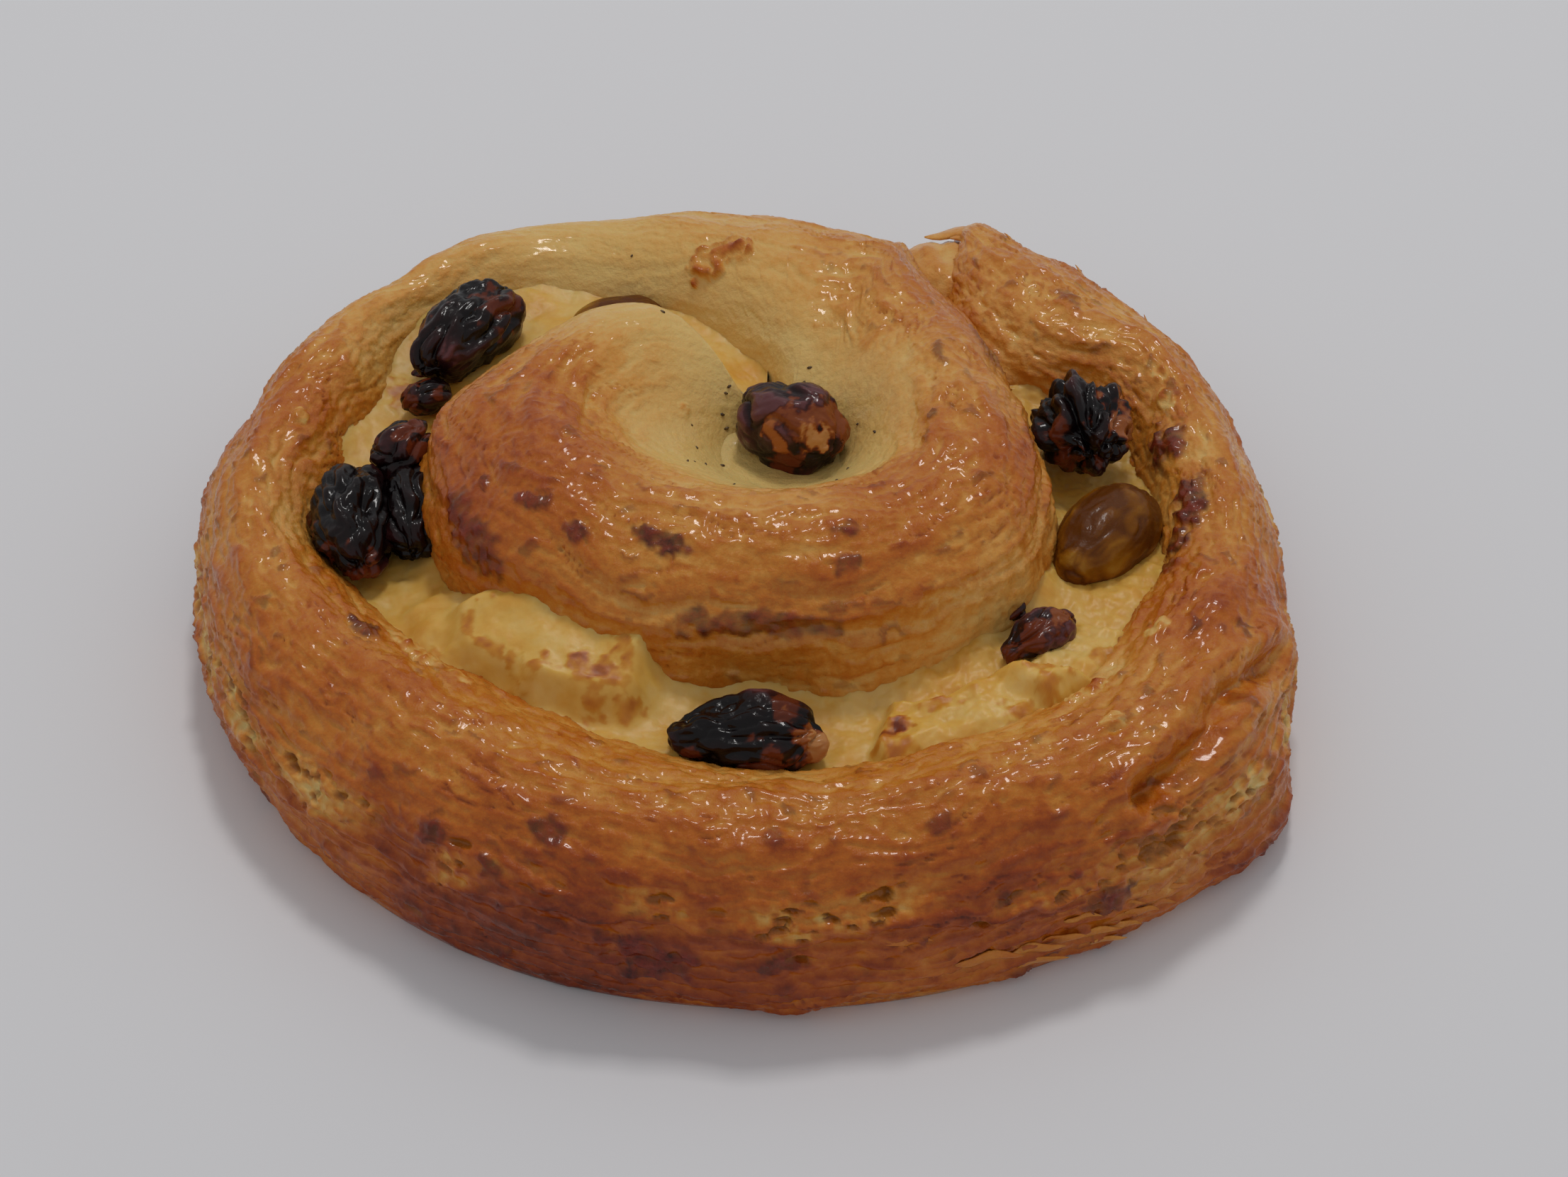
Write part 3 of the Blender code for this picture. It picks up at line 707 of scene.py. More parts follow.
def set_ramp(ramp_node, stops):
    """Gives a colour ramp its stops, each a position and a hex code."""
    elements = ramp_node.color_ramp.elements
    while len(elements) > 1:
        elements.remove(elements[-1])
    elements[0].position, elements[0].color = stops[0][0], colour(stops[0][1])
    for position, code in stops[1:]:
        elements.new(position).color = colour(code)
    return ramp_node.outputs["Color"]


def mottle_and_normal(tree, mottle, grain, strength, depth):
    """Noise to vary a hue by, and the normal of a skin that a finer grain raises.

    Mottle and grain are each a size in metres, a number of octaves, and the share each octave keeps.
    """
    place = node(tree, "TexCoord").outputs["Object"]
    soft, fine = (
        node(tree, "TexNoise", {
            "Vector": place, "Scale": 1 / size, "Detail": octaves, "Roughness": share}).outputs["Fac"]
        for size, octaves, share in (mottle, grain))
    bump = node(tree, "Bump", {"Height": fine, "Strength": strength, "Distance": depth})
    return soft, bump.outputs["Normal"]


# %% Baked dough: mottling of 1.6 mm, grain of 0.8 mm, and a gloss that grows with the brown attribute, which holds painted shade too
def baked_dough(tree):
    """Hue from the brown attribute, browning with some painted shade, plus (mottle - 0.5) times a strength,
    then burnt skin and pale pits over it.
    """
    mottle, normal = mottle_and_normal(tree, (0.0016, 6, 0.72), (0.0008, 4, 0.6), 0.8, 0.0003)
    brown, char, pit = (
        node(tree, "Attribute", attribute_name=name).outputs["Fac"] for name in ("brown", "char", "pit"))
    centred = node(tree, "Math", {0: mottle, 1: 0.5}, operation="SUBTRACT").outputs[0]
    strength = node(tree, "MapRange", {
        "Value": brown, "From Min": 0.05, "From Max": 0.40, "To Min": 0.14, "To Max": 0.46}).outputs[0]
    shade = node(tree, "Math", {0: centred, 1: strength, 2: brown}, operation="MULTIPLY_ADD").outputs[0]
    crust_hue = set_ramp(node(tree, "ValToRGB", {"Fac": shade}), [
        (0.00, "E3C57C"), (0.15, "E0B366"), (0.30, "DA9A46"), (0.42, "CB7F2A"), (0.57, "BD6516"),
        (0.72, "A34908"), (0.86, "863308"), (1.00, "60240C")])
    burnt = set_ramp(node(tree, "ValToRGB", {"Fac": mottle}), [(0.38, "360C0C"), (0.62, "7E2818")])
    soot = node(tree, "Math", {0: char, 1: 0.94}, operation="MULTIPLY").outputs[0]
    hue = node(tree, "Mix", {"Factor": soot, 6: crust_hue, 7: burnt}, data_type="RGBA").outputs[2]
    hue = node(tree, "Mix", {"Factor": pit, 6: hue, 7: colour("A0601E")}, data_type="RGBA").outputs[2]
    gloss = node(tree, "MapRange", {
        "Value": brown, "From Min": 0.1, "From Max": 0.5, "To Min": 0.50, "To Max": 0.26}).outputs[0]
    return {
        "Base Color": hue, "Roughness": gloss, "Normal": normal, "IOR": 1.42, "Specular IOR Level": 0.18,
        "Subsurface Weight": 0.15, "Subsurface Radius": (1.0, 0.45, 0.2), "Subsurface Scale": 0.0010,
        "Coat Weight": 0.40, "Coat Roughness": 0.10}


# %% Build the dough pieces
dough_look = new_material("egg_washed_laminated_dough", baked_dough)
names = ["dough_heart_left", "dough_heart_right", "dough_rim_back", "dough_rim_front", "dough_rim_right"]
for name, first, last in zip(names, cuts[:-1], cuts[1:]):
    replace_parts(dough_piece(name, first, last, dough_look), "dough_coil")


# %% [markdown]
# ## Custard
# Pastry cream lies in the groove between the turns. It clings to both walls, sinks between raisins, and
# where it was piped thick it keeps lumps whose tips toast. It is a ribbon through the whole seam: each
# ring runs up one wall, over, and down the other, and the height of its top adds up a level along the
# groove, a rise at each wall, and lumps with steep flanks.

# %% Levels and lumps, in millimetres from the coil's middle
custard_level = {
    96: 15.4, 120: 17.0, 150: 16.2, 185: 13.8, 205: 13.6, 225: 14.6, 238: 14.4, 262: 14.2, 270: 13.4,
    284: 13.2, 300: 14.4, 330: 14.5, 360: 12.5, 378: 13.5, 427: 13.5}
custard_start, custard_end = 96.0, 423.0
# Blocks of set cream: lift, width of their sloping edge, how toasted it is, then their outline
blocks = [
    (1.4, 3.2, 0, [
        (-29.0, -11.5), (-31.6, -14.2), (-30.0, -19.4), (-25.4, -23.6), (-19.0, -27.3), (-14.2, -29.3),
        (-10.0, -30.4), (-7.6, -28.0), (-6.5, -23.0), (-12.0, -19.0), (-20.0, -14.0)]),
    (1.7, 2.8, 1, [
        (-26.5, -17.0), (-27.0, -21.6), (-23.4, -25.0), (-18.6, -27.1), (-14.2, -28.9), (-10.4, -29.8),
        (-8.6, -27.4), (-8.0, -23.0), (-12.0, -19.0), (-20.0, -14.0)]),
    (2.2, 1.4, 1, [
        (13.2, -33.0), (13.4, -29.2), (14.2, -27.0), (16.7, -27.0), (19.6, -26.6), (22.8, -24.8),
        (26.4, -24.6), (30.4, -24.8), (36.0, -27.0), (33.0, -34.0), (26.0, -40.0), (16.0, -41.0)]),
    (1.6, 2.2, 0, [
        (24.0, -25.0), (29.0, -20.5), (33.0, -16.5), (37.0, -18.0), (37.0, -27.0), (30.0, -31.0)])]
# x, y, radius, toasting: cream 0, amber 0.35, brown 0.7
toasting = [
    (-20.6, -24.0, 1.0, 0.42), (-17.4, -24.8, 0.8, 0.45), (-14.6, -25.4, 1.3, 0.62),
    (-11.6, -26.4, 1.9, 0.58), (-13.0, -28.6, 1.6, 0.40), (-20.0, -26.0, 1.6, 0.26),
    (-9.6, -29.0, 1.6, 0.42), (-28.6, -21.4, 1.6, 0.35), (15.2, -30.6, 1.3, 0.95),
    (14.4, -31.6, 1.2, 0.70), (14.8, -33.4, 2.4, 0.42), (19.0, -28.2, 2.2, 0.40),
    (22.0, -27.0, 1.4, 0.22), (26.4, -30.2, 2.0, 0.42), (29.0, -28.4, 2.0, 0.34),
    (32.6, -28.6, 1.8, 0.40), (34.6, -22.6, 2.0, 0.36), (21.0, -34.6, 1.6, 0.22),
    (-35.6, 19.0, 2.6, 0.50), (-31.4, 15.6, 2.0, 0.40), (-33.0, 6.0, 2.0, 0.30),
    (-28.6, 27.6, 2.4, 0.30), (36.6, 11.0, 2.0, 0.30)]
print("custard stands", min(custard_level.values()), "to", max(custard_level.values()), "mm high, with",
      len(blocks), "blocks and", len(toasting), "toasted spots")


# %% The custard's blocks and walls
def outline_depth(x, y, corners):
    """How far inside an outline each point lies: positive within, negative outside, in millimetres."""
    ring = corners + corners[:1]
    inside = np.zeros(x.shape, bool)
    for (ax, ay), (bx, by) in zip(ring[:-1], ring[1:]):
        crosses = (ay > y) != (by > y)
        slope = (bx - ax) / (by - ay if by != ay else 1e-9)
        inside ^= crosses & (x < ax + (y - ay) * slope)
    from_edge = near_line(np.stack([x, y], -1), ring)
    return np.where(inside, from_edge, -from_edge)


def flank(angle, heights, outer):
    """Radius of the strip's outer or inner side at each height: rows of angles, columns of heights."""
    fine = section(angle, np.linspace(0, 1, 241))
    crest = np.argmax(fine[..., 1], 1)
    rows = []
    for line, top, levels in zip(fine, crest, heights):
        side = line[top:][::-1] if outer else line[:top + 1]
        rows.append(np.interp(levels, side[:, 1], side[:, 0]))
    return np.array(rows)


def custard_fields(points):
    """Lift of the blocks in millimetres and the toasting, at points given in pastry millimetres."""
    x = points[..., 0] + 0.8 * noise(points, 4.0, 41) + 0.15 * noise(points, 1.4, 44)
    y = points[..., 1] + 0.8 * noise(points, 4.0, 42) + 0.15 * noise(points, 1.4, 46)
    lift = np.zeros(points.shape[:-1])
    edge = np.zeros(points.shape[:-1])
    face = np.zeros(points.shape[:-1])
    for height, soft, toasted, corners in blocks:
        depth = outline_depth(x, y, corners)
        lift += height * ramp(depth, -0.35 * soft, 0.65 * soft) * (1 + 0.16 * noise(points, 3.2, 47))
        edge = np.maximum(edge, toasted * bell(depth, 0.7 * soft, 0.8))
        face = np.maximum(face, toasted * bell(depth, 0.1 * soft, 0.8 * soft))
    fray = rough(points + lift[..., None] * np.array([0, 0, 1.5]), 1.6, 52, 3)
    toast = 0.36 * edge * ramp(fray, -0.2, 0.4) + 0.14 * face
    for px, py, radius, amount in toasting:
        away = np.hypot(points[..., 0] - px, points[..., 1] - py) / radius
        toast = np.maximum(toast, amount * ramp(1.1 - away + 0.65 * fray, -0.1, 0.8))
    return lift, toast


# %% The ribbon of custard
def custard_ribbon(material):
    """The filling as one closed loft: its top between the walls at the groove's level, and a plain base."""
    rows, columns = int(900 * detail), int(86 * detail)
    outer_angle = np.linspace(custard_start, custard_end, rows)
    inner_angle = np.maximum(outer_angle, coil_start)
    share = np.minimum(1, (outer_angle - custard_start) / (coil_start - custard_start))
    level = follow(custard_level, outer_angle) - 4.0 * ramp(outer_angle, 404, 416)
    wall_levels = np.stack([np.full(rows, 0.6), np.full(rows, 5.5), np.full(rows, 10.0), level - 1.5,
                            level + 2.6], 1)
    inner = flank(inner_angle, wall_levels, True) - 0.6
    inner = 3.8 + (inner - 3.8) * share[:, None]
    outer = flank(outer_angle + TURN, wall_levels, False) + 0.6
    side_in = on_coil(inner_angle[:, None], inner, wall_levels)
    side_out = on_coil(outer_angle[:, None], outer, wall_levels)
    across = np.linspace(0, 1, columns)[None, :, None]
    top = side_in[:, -1:] * (1 - across) + side_out[:, -1:] * across
    width = np.linalg.norm(side_out[:, -1] - side_in[:, -1], axis=-1)[:, None]
    from_in, from_out = width * across[..., 0], width * (1 - across[..., 0])
    lift, toast = custard_fields(top)
    cling = 1 + 0.45 * noise(top, 5.0, 49)
    lift *= ramp(from_out, 0.0, 3.5)
    lean = bell(outer_angle, 240, 22)[:, None]
    climb = (1.8 + 1.6 * lean) * cling * np.exp(-from_in / (2.4 + 1.4 * lean))
    climb += 1.8 * cling * np.exp(-from_out / 2.0)
    grainy = ramp(outer_angle, 276, 288)[:, None]
    top[..., 2] = (
        level[:, None] - 0.4 + climb + lift + 0.35 * rough(top, 6.0, 43, 2)
        + (0.12 + 0.22 * grainy) * rough(top, 2.0, 45, 3) + 0.04 * noise(top, 0.8, 48)
        + 0.5 * toast * (1 - toast))
    ring = np.concatenate([side_in[:, :-1], top, side_out[:, -2::-1]], 1)
    brown = np.zeros(ring.shape[:2])
    brown[:, 4:4 + columns] = np.clip(toast * (1 + 0.5 * rough(top, 1.1, 54, 2)), 0, 1)
    skyward = grid_normals(top[:, ::-1], False)
    surface.append(np.concatenate([top[:, ::-1], skyward, 0 * skyward[..., :1]], -1).reshape(-1, 7))
    flat, faces = closed_tube(ring)
    outward_faces = [face[::-1] for face in faces]
    return mesh_piece("custard_ribbon", flat, outward_faces, {"toast": np.append(brown.ravel(), [0, 0])},
                      material, "baked_custard")


# %% [markdown]
# Custard is a pale yellow starch cream with a faint skin: soft gloss, light that soaks in and comes out
# warm, tiny dark vanilla seeds, and amber where it toasts.

# %% Custard material and piece
def baked_custard(tree):
    """Cream that varies softly, and over it, from 0.05 to 0.28 of toasting, amber to brown."""
    cloud, normal = mottle_and_normal(tree, (0.004, 4, 0.6), (0.0008, 3, 0.5), 0.3, 0.00012)
    toast = node(tree, "Attribute", attribute_name="toast").outputs["Fac"]
    cream = set_ramp(node(tree, "ValToRGB", {"Fac": cloud}), [
        (0.35, "DDA442"), (0.5, "E2B254"), (0.65, "E4BD6C")])
    amber = set_ramp(node(tree, "ValToRGB", {"Fac": toast}), [
        (0.10, "DDB251"), (0.35, "CF8C2A"), (0.60, "B5641F"), (0.90, "7C3416")])
    cover = node(tree, "MapRange", {"Value": toast, "From Min": 0.05, "From Max": 0.28}).outputs[0]
    hue = node(tree, "Mix", {"Factor": cover, 6: cream, 7: amber}, data_type="RGBA").outputs[2]
    return {
        "Base Color": hue, "Roughness": 0.42, "Normal": normal, "IOR": 1.42,
        "Subsurface Weight": 0.35, "Subsurface Radius": (1.0, 0.6, 0.22), "Subsurface Scale": 0.0018}


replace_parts(custard_ribbon(new_material("baked_pastry_cream", baked_custard)), "custard_filling")




# %% [markdown]
# ## Raisins and sultanas
# A dried grape is a bag of skin that has shrunk: its wrinkles are rounded ridges with sharp valleys,
# mostly along its length. A displace texture would bulge both ways, so the size of noise, which is round
# where it is large and creased where it crosses zero, pushes the skin of an ellipsoid.

# %% Sizes and places of the dried fruit, in millimetres from the coil's middle
# x, y, height of centre, length, width, thickness, heading, pitch, depth of its wrinkles, width of its
# main folds, how much lighter or darker than its kind it is, kind
fruit = {
    "raisin_middle": (0.7, 0.7, 19.2, 12.4, 9.6, 10.0, -32, 6, 0.6, 2.6, 0.34, "raisin"),
    "raisin_back_left": (-33.8, 17.5, 18.9, 15.2, 9.4, 8.8, 58, 4, 0.8, 2.4, 0.02, "raisin"),
    "raisin_back_left_small": (-37.3, 8.6, 16.8, 5.6, 4.6, 4.2, 30, 0, 0.4, 2.1, 0.16, "raisin"),
    "raisin_left_outer": (-42.4, -12.0, 17.2, 14.2, 8.6, 9.4, 99, 0, 0.8, 2.0, -0.06, "raisin"),
    "raisin_left_inner": (-36.8, -9.6, 15.8, 12.8, 7.6, 9.4, 97, 0, 0.7, 1.9, -0.08, "raisin"),
    "raisin_left_small": (-38.2, -3.6, 19.2, 7.6, 6.4, 6.0, 50, 8, 0.6, 2.1, 0.04, "raisin"),
    "raisin_right": (30.7, 1.4, 18.6, 11.4, 10.6, 9.6, 96, -4, 1.1, 2.1, -0.02, "raisin"),
    "sultana_right": (32.0, -11.8, 15.0, 15.4, 9.0, 8.2, 52, 0, 0.22, 2.1, 0, "sultana"),
    "raisin_front_right": (24.3, -27.1, 15.9, 8.6, 5.2, 4.8, 36, 0, 0.6, 3.0, 0.60, "raisin"),
    "raisin_front": (-3.3, -40.3, 15.9, 15.0, 7.8, 7.2, -2, 0, 0.6, 1.7, -0.04, "raisin"),
    "sultana_back": (-17.8, 22.8, 16.0, 10.6, 6.6, 5.8, 12, 0, 0.2, 2.1, 0, "sultana")}
print(len(fruit), "dried fruits, the longest", max(row[3] for row in fruit.values()), "mm")


def dried_shell(row, seed, rows, columns):
    """Ellipsoid with a blunter end, whose skin is pushed in along creases and out into rounded ridges."""
    x, y, z, length, width, thick, heading, pitch, depth, folds = row
    ball = unit_ball(rows, columns)
    half = 0.5 * np.array([length, width, thick])
    skin = ball * half * (1 + 0.12 * ball[..., :1] * np.array([0, 1, 1]))
    outward = ball / half
    outward /= np.linalg.norm(outward, axis=-1, keepdims=True)
    where = skin + 0.9 * np.stack([noise(skin, 3.0, seed + k) for k in (1, 2, 3)], -1)
    long_folds = np.abs(noise(where, (12.0, folds, folds), seed + 4)) ** 0.6
    cross_folds = np.abs(noise(where, (3.2, 1.2, 1.2), seed + 5)) ** 0.8
    fine = np.abs(noise(where, (2.6, 0.8, 0.8), seed + 6))
    dents = ramp(noise(skin, 4.6, seed + 7), 0.0, 0.6)
    lobes = noise(skin, 6.5, seed + 8)
    push = depth * (
        1.6 * (long_folds - 0.5) + 0.30 * (cross_folds - 0.4) + 0.42 * (fine - 0.3) - 0.9 * dents
        + 0.6 * lobes)
    skin = skin + outward * push[..., None]
    flat, faces = closed_tube(skin, skin[[0, -1]].mean(1) + np.array([[0.02, 0, 0], [-0.02, 0, 0]]))
    lean = math.radians(-pitch)
    tilt = np.array([[math.cos(lean), 0, math.sin(lean)], [0, 1, 0], [-math.sin(lean), 0, math.cos(lean)]])
    flat = flat @ (spun(heading) @ tilt).T + np.array([middle_x + x, middle_y + y, z])
    # Painted shade and light: 0 deep in a fold, 1 high on a ridge; the skin's hue follows it.
    fold_shade_and_tone = np.append(np.clip(0.5 + push / (1.6 * depth), 0, 1).ravel(), [0.5, 0.5])
    return flat, faces, fold_shade_and_tone


# %% Where the skin has worn to tan pulp or turned to toffee: x, y, z, reach, amount, by fruit
pulp = {
    "raisin_middle": [
        (8.0, 3.6, 21.0, 1.8, 0.85), (4.2, 3.6, 20.8, 1.8, 0.70), (9.6, 6.0, 21.5, 2.6, 0.55),
        (4.8, 3.2, 18.6, 2.6, 0.40), (6.4, 4.0, 22.2, 2.8, 0.52), (9.0, 10.4, 22.6, 1.8, 0.66)],
    "raisin_front": [
        (7.0, -34.6, 16.4, 2.2, 0.6), (3.2, -36.4, 15.6, 2.2, 0.42), (4.8, -32.2, 18.6, 2.4, 0.36),
        (-5.0, -36.4, 14.8, 2.2, 0.36), (8.6, -34.6, 16.0, 1.8, 0.8)],
    "raisin_front_right": [
        (26.0, -22.0, 16.0, 1.8, 0.4), (28.2, -20.6, 18.0, 2.6, 0.42), (31.0, -18.4, 17.6, 1.8, 0.55)],
    "raisin_right": [
        (40.0, 8.0, 19.6, 3.6, 0.62), (34.0, 3.6, 17.2, 2.6, 0.4), (31.0, 6.0, 21.0, 2.2, 0.4)],
    "raisin_left_outer": [(-37.6, -10.0, 15.5, 3.0, 0.4), (-42.4, -5.0, 14.5, 3.0, 0.35)],
    "raisin_left_small": [(-32.4, 4.0, 21.0, 2.4, 0.42)],
    "raisin_back_left": [(-35.5, 24.5, 20.5, 3.6, 0.36), (-25.6, 26.0, 21.5, 3.0, 0.36)],
    "raisin_back_left_small": [(-34.0, 14.6, 17.5, 2.6, 0.40)]}


def dried_fruit(name, row, seed):
    """One raisin or sultana, with its painted fold shade plus its own tone, and how worn its skin is, at each
    point.
    """
    *shape, warmth, kind = row
    flat, faces, fold_shade_and_tone = dried_shell(shape, seed, int(96 * detail), int(132 * detail))
    tan = np.zeros(len(flat))
    fray = rough(flat, 2.0, 300 + seed, 4)
    for x, y, z, reach, amount in pulp.get(name, []):
        away = np.linalg.norm(flat - [x, y, z], axis=-1) / reach
        tan = np.maximum(tan, amount * ramp(1.15 - away + 1.1 * fray, 0.0, 0.6))
    # Painted fold shade plus the fruit's own tone, lighter or darker than its kind.
    return mesh_piece(name + "_skin", flat, faces, {"fold_shade_and_tone": fold_shade_and_tone + warmth, "tan": tan}, *skins[kind])


# %% [markdown]
# A raisin's skin is nearly black and maroon with a sticky shine of baked sugar; painted shade darkens its
# folds and painted light lightens its ridges. A sultana is the same grape dried golden: amber and
# see-through.

# %% Fruit materials and pieces
def dried_skin(tree, stops, mottled, soak, gloss, shine):
    """Hue from painted fold shade plus the fruit's own tone, plus (mottle - 0.5) times mottled, and worn pulp
    over it.
    """
    mottle, normal = mottle_and_normal(tree, (0.003, 4, 0.6), (0.0009, 3, 0.5), 0.6, 0.00025)
    tan, fold_shade_and_tone = (node(tree, "Attribute", attribute_name=name).outputs["Fac"] for name in ("tan", "fold_shade_and_tone"))
    centred = node(tree, "Math", {0: mottle, 1: 0.5}, operation="SUBTRACT").outputs[0]
    shade = node(tree, "Math", {0: centred, 1: mottled, 2: fold_shade_and_tone}, operation="MULTIPLY_ADD").outputs[0]
    hue = set_ramp(node(tree, "ValToRGB", {"Fac": shade}), stops)
    worn = set_ramp(node(tree, "ValToRGB", {"Fac": tan}), [
        (0.20, "3A140C"), (0.45, "6E2E14"), (0.70, "A55F2A"), (0.95, "D2A064")])
    cover = node(tree, "MapRange", {"Value": tan, "From Min": 0.05, "From Max": 0.30}).outputs[0]
    hue = node(tree, "Mix", {"Factor": cover, 6: hue, 7: worn}, data_type="RGBA").outputs[2]
    return {
        "Base Color": hue, "Roughness": gloss, "Normal": normal, "IOR": 1.40, "Specular IOR Level": 0.16,
        "Subsurface Weight": soak, "Subsurface Radius": (1.0, 0.35, 0.15), "Subsurface Scale": 0.0012,
        "Coat Weight": shine, "Coat Roughness": 0.06}


raisin_hues = [(0.10, "0A0304"), (0.40, "150606"), (0.65, "240C0C"), (0.88, "3C1B1C"), (1.00, "62383A")]
sultana_hues = [(0.15, "603208"), (0.45, "7E4A08"), (0.70, "946012"), (0.95, "AE8430")]
raisin_skin = new_material("sticky_raisin_skin", dried_skin, raisin_hues, 0.6, 0.1, 0.28, 0.30)
sultana_skin = new_material("translucent_sultana_skin", dried_skin, sultana_hues, 0.35, 0.3, 0.36, 0.10)
skins = {"raisin": (raisin_skin, "dark_raisin"), "sultana": (sultana_skin, "golden_sultana")}
for number, (name, row) in enumerate(fruit.items()):
    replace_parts(dried_fruit(name, row, 100 + 20 * number), name)




# %% [markdown]
# ## Core, flakes, residue and seeds
# Where the strip starts, dough closes the bottom of the crater. Thin leaves of the outermost layer peel
# away at the tail's tip and along the base. Burnt juice sticks beside the fruit, and the custard carries
# vanilla seeds. Small things of one kind are one mesh; peels are laid on the surface nearest to their
# places and seeds on points of pale surface.

# %% The core: rings from the middle of the crater's floor, down and under
def core_piece(material):
    """A short plug: rings whose radius and height follow a profile, with a slightly dished top."""
    rows, columns = int(60 * detail), int(96 * detail)
    profile = np.array([(0.3, 16.4), (3.5, 16.5), (6.5, 17.0), (8.8, 18.0), (9.2, 16.4), (5.2, 11.0),
                        (3.3, 6.0), (3.2, 0.35), (2.6, 0.25), (0.3, 0.25)])
    at = np.linspace(0, len(profile) - 1, rows)
    radius = np.interp(at, np.arange(len(profile)), profile[:, 0])
    height = np.interp(at, np.arange(len(profile)), profile[:, 1])
    turn = np.linspace(0, TURN, columns, endpoint=False)
    points = on_coil(turn[None, :], radius[:, None], height[:, None])
    points[..., 2] += 0.3 * rough(points, 3.5, 401, 2) * ramp(points[..., 2], 1, 6)
    flat, faces = closed_tube(points)
    blank = np.zeros(len(flat))
    return mesh_piece("dough_core", flat, faces, {"brown": blank + 0.04, "char": blank, "pit": blank},
                      material, "baked_dough")


core_piece(dough_look)


# %% The fold of dough that closes the seam where the tail leans on the passage
def fold_piece(material):
    """A blunt ellipsoid along the seam: |x/a|^n + |y/b|^n + |z/c|^n = 1 with n = 2.6, roughened a little."""
    ball = unit_ball(int(70 * detail), int(90 * detail))
    ball /= ((np.abs(ball) ** 2.6).sum(-1, keepdims=True)) ** (1 / 2.6)
    half = np.array([7.0, 5.2, 8.0])
    along_seam = spun(96)
    points = (ball * half) @ along_seam.T + np.array([22.6, 40.6, 10.0])
    outward = ball / half
    outward = outward @ along_seam.T / np.linalg.norm(outward, axis=-1, keepdims=True)
    crinkle = rough(points, (2.0, 5.0, 2.0), 411, 3)
    points += outward * (0.45 * crinkle + 0.7 * noise(points, 7.0, 415))[..., None]
    points[..., 2] = np.maximum(points[..., 2], 0.3)
    flat, faces = closed_tube(points)
    brown = np.append(np.clip(0.27 + 0.16 * crinkle, 0, 1).ravel(), [0.2, 0.2])
    blank = np.zeros(len(flat))
    return mesh_piece("dough_fold", flat, faces, {"brown": brown, "char": blank, "pit": blank},
                      material, "baked_dough")


fold_piece(dough_look)
skin = np.concatenate(surface)


def nearest(places):
    """Point, outward normal and brownness of the surface nearest to each place."""
    rows = np.array([skin[np.argmin(((skin[:, :3] - place) ** 2).sum(1))] for place in places])
    return rows[:, :3], rows[:, 3:6], rows[:, 6]


# %% Leaves of crust
def leaves(name, bases, along, outward, sizes, thickness, brown):
    """Thin pointed leaves: flat oval rings, (half width cos a, half thickness sin a), that curl outward."""
    rows, columns = 9, 10
    u = np.linspace(0.02, 0.98, rows)[None, :, None]
    a = np.linspace(0, 2 * math.pi, columns, endpoint=False)[None, None, :]
    beside = np.cross(outward, along)
    lengths, widths, lifts = sizes.T[:, :, None, None]
    number = np.arange(len(bases))[:, None, None]
    wave = 1 + 0.35 * np.sin(9 * u + 2.3 * number) * np.cos(a)
    half_width = widths * np.sin(math.pi * u ** 0.8) ** 0.7 * wave
    half_thick = thickness * np.sin(math.pi * u) ** 0.5
    rise = lifts * (u - 0.25) * np.abs(u - 0.25) + 0.12 * np.sin(7 * u + number)
    points = (
        bases[:, None, None] + along[:, None, None] * ((u - 0.4) * lengths)[..., None]
        + beside[:, None, None] * (half_width * np.cos(a))[..., None]
        + outward[:, None, None] * (rise + half_thick * np.sin(a))[..., None])
    flat, faces = joined([closed_tube(leaf) for leaf in points])
    tone = np.repeat(brown, len(flat) // len(points))
    return mesh_piece(name, flat, faces, {"brown": tone, "char": 0 * tone, "pit": 0 * tone},
                      dough_look, "baked_dough")


rng = np.random.default_rng(5)
# Peels: x, y, z on the wall, length, half width, lift, brownness
peels = np.array([
    (14.9, -51.4, 9.4, 4.6, 0.5, 1.0, .55), (22.0, -50.1, 5.7, 6.5, 0.7, 1.2, .48),
    (26.5, -48.6, 4.2, 5.5, 0.7, 1.4, .46), (29.3, -47.4, 4.7, 4.5, 0.6, 1.5, .50),
    (32.5, -46.0, 4.2, 4.2, 0.6, 1.8, .44), (34.5, -44.9, 3.8, 4.0, 0.7, 2.0, .40),
    (31.0, -46.6, 6.6, 3.6, 0.4, 1.4, .44), (35.4, -44.4, 6.2, 3.0, 0.4, 1.5, .46),
    (27.6, -48.4, 2.6, 5.0, 0.6, 1.0, .42), (33.6, -45.4, 2.6, 3.6, 0.5, 1.4, .40),
    (39.6, -41.6, 5.6, 2.6, 0.4, 1.4, .46), (36.6, -43.8, 4.6, 3.2, 0.6, 2.0, .46),
    (38.2, -42.6, 4.4, 3.2, 0.5, 1.8, .50), (44.6, 29.0, 16.0, 4.0, 0.5, 0.8, .40),
    (38.0, 36.0, 17.0, 4.2, 0.5, 0.8, .38), (30.0, 41.5, 17.6, 3.4, 0.5, 0.8, .40)])
bases, outward, _ = nearest(peels[:, :3])
round_coil = np.stack([-(bases[:, 1] - middle_y), bases[:, 0] - middle_x, 0.12 * bases[:, 2]], -1)
round_coil -= outward * (round_coil * outward).sum(1, keepdims=True)
round_coil /= np.linalg.norm(round_coil, axis=1, keepdims=True)
leaves("crust_peels", bases, round_coil, outward, peels[:, 3:6], 0.14, peels[:, 6])

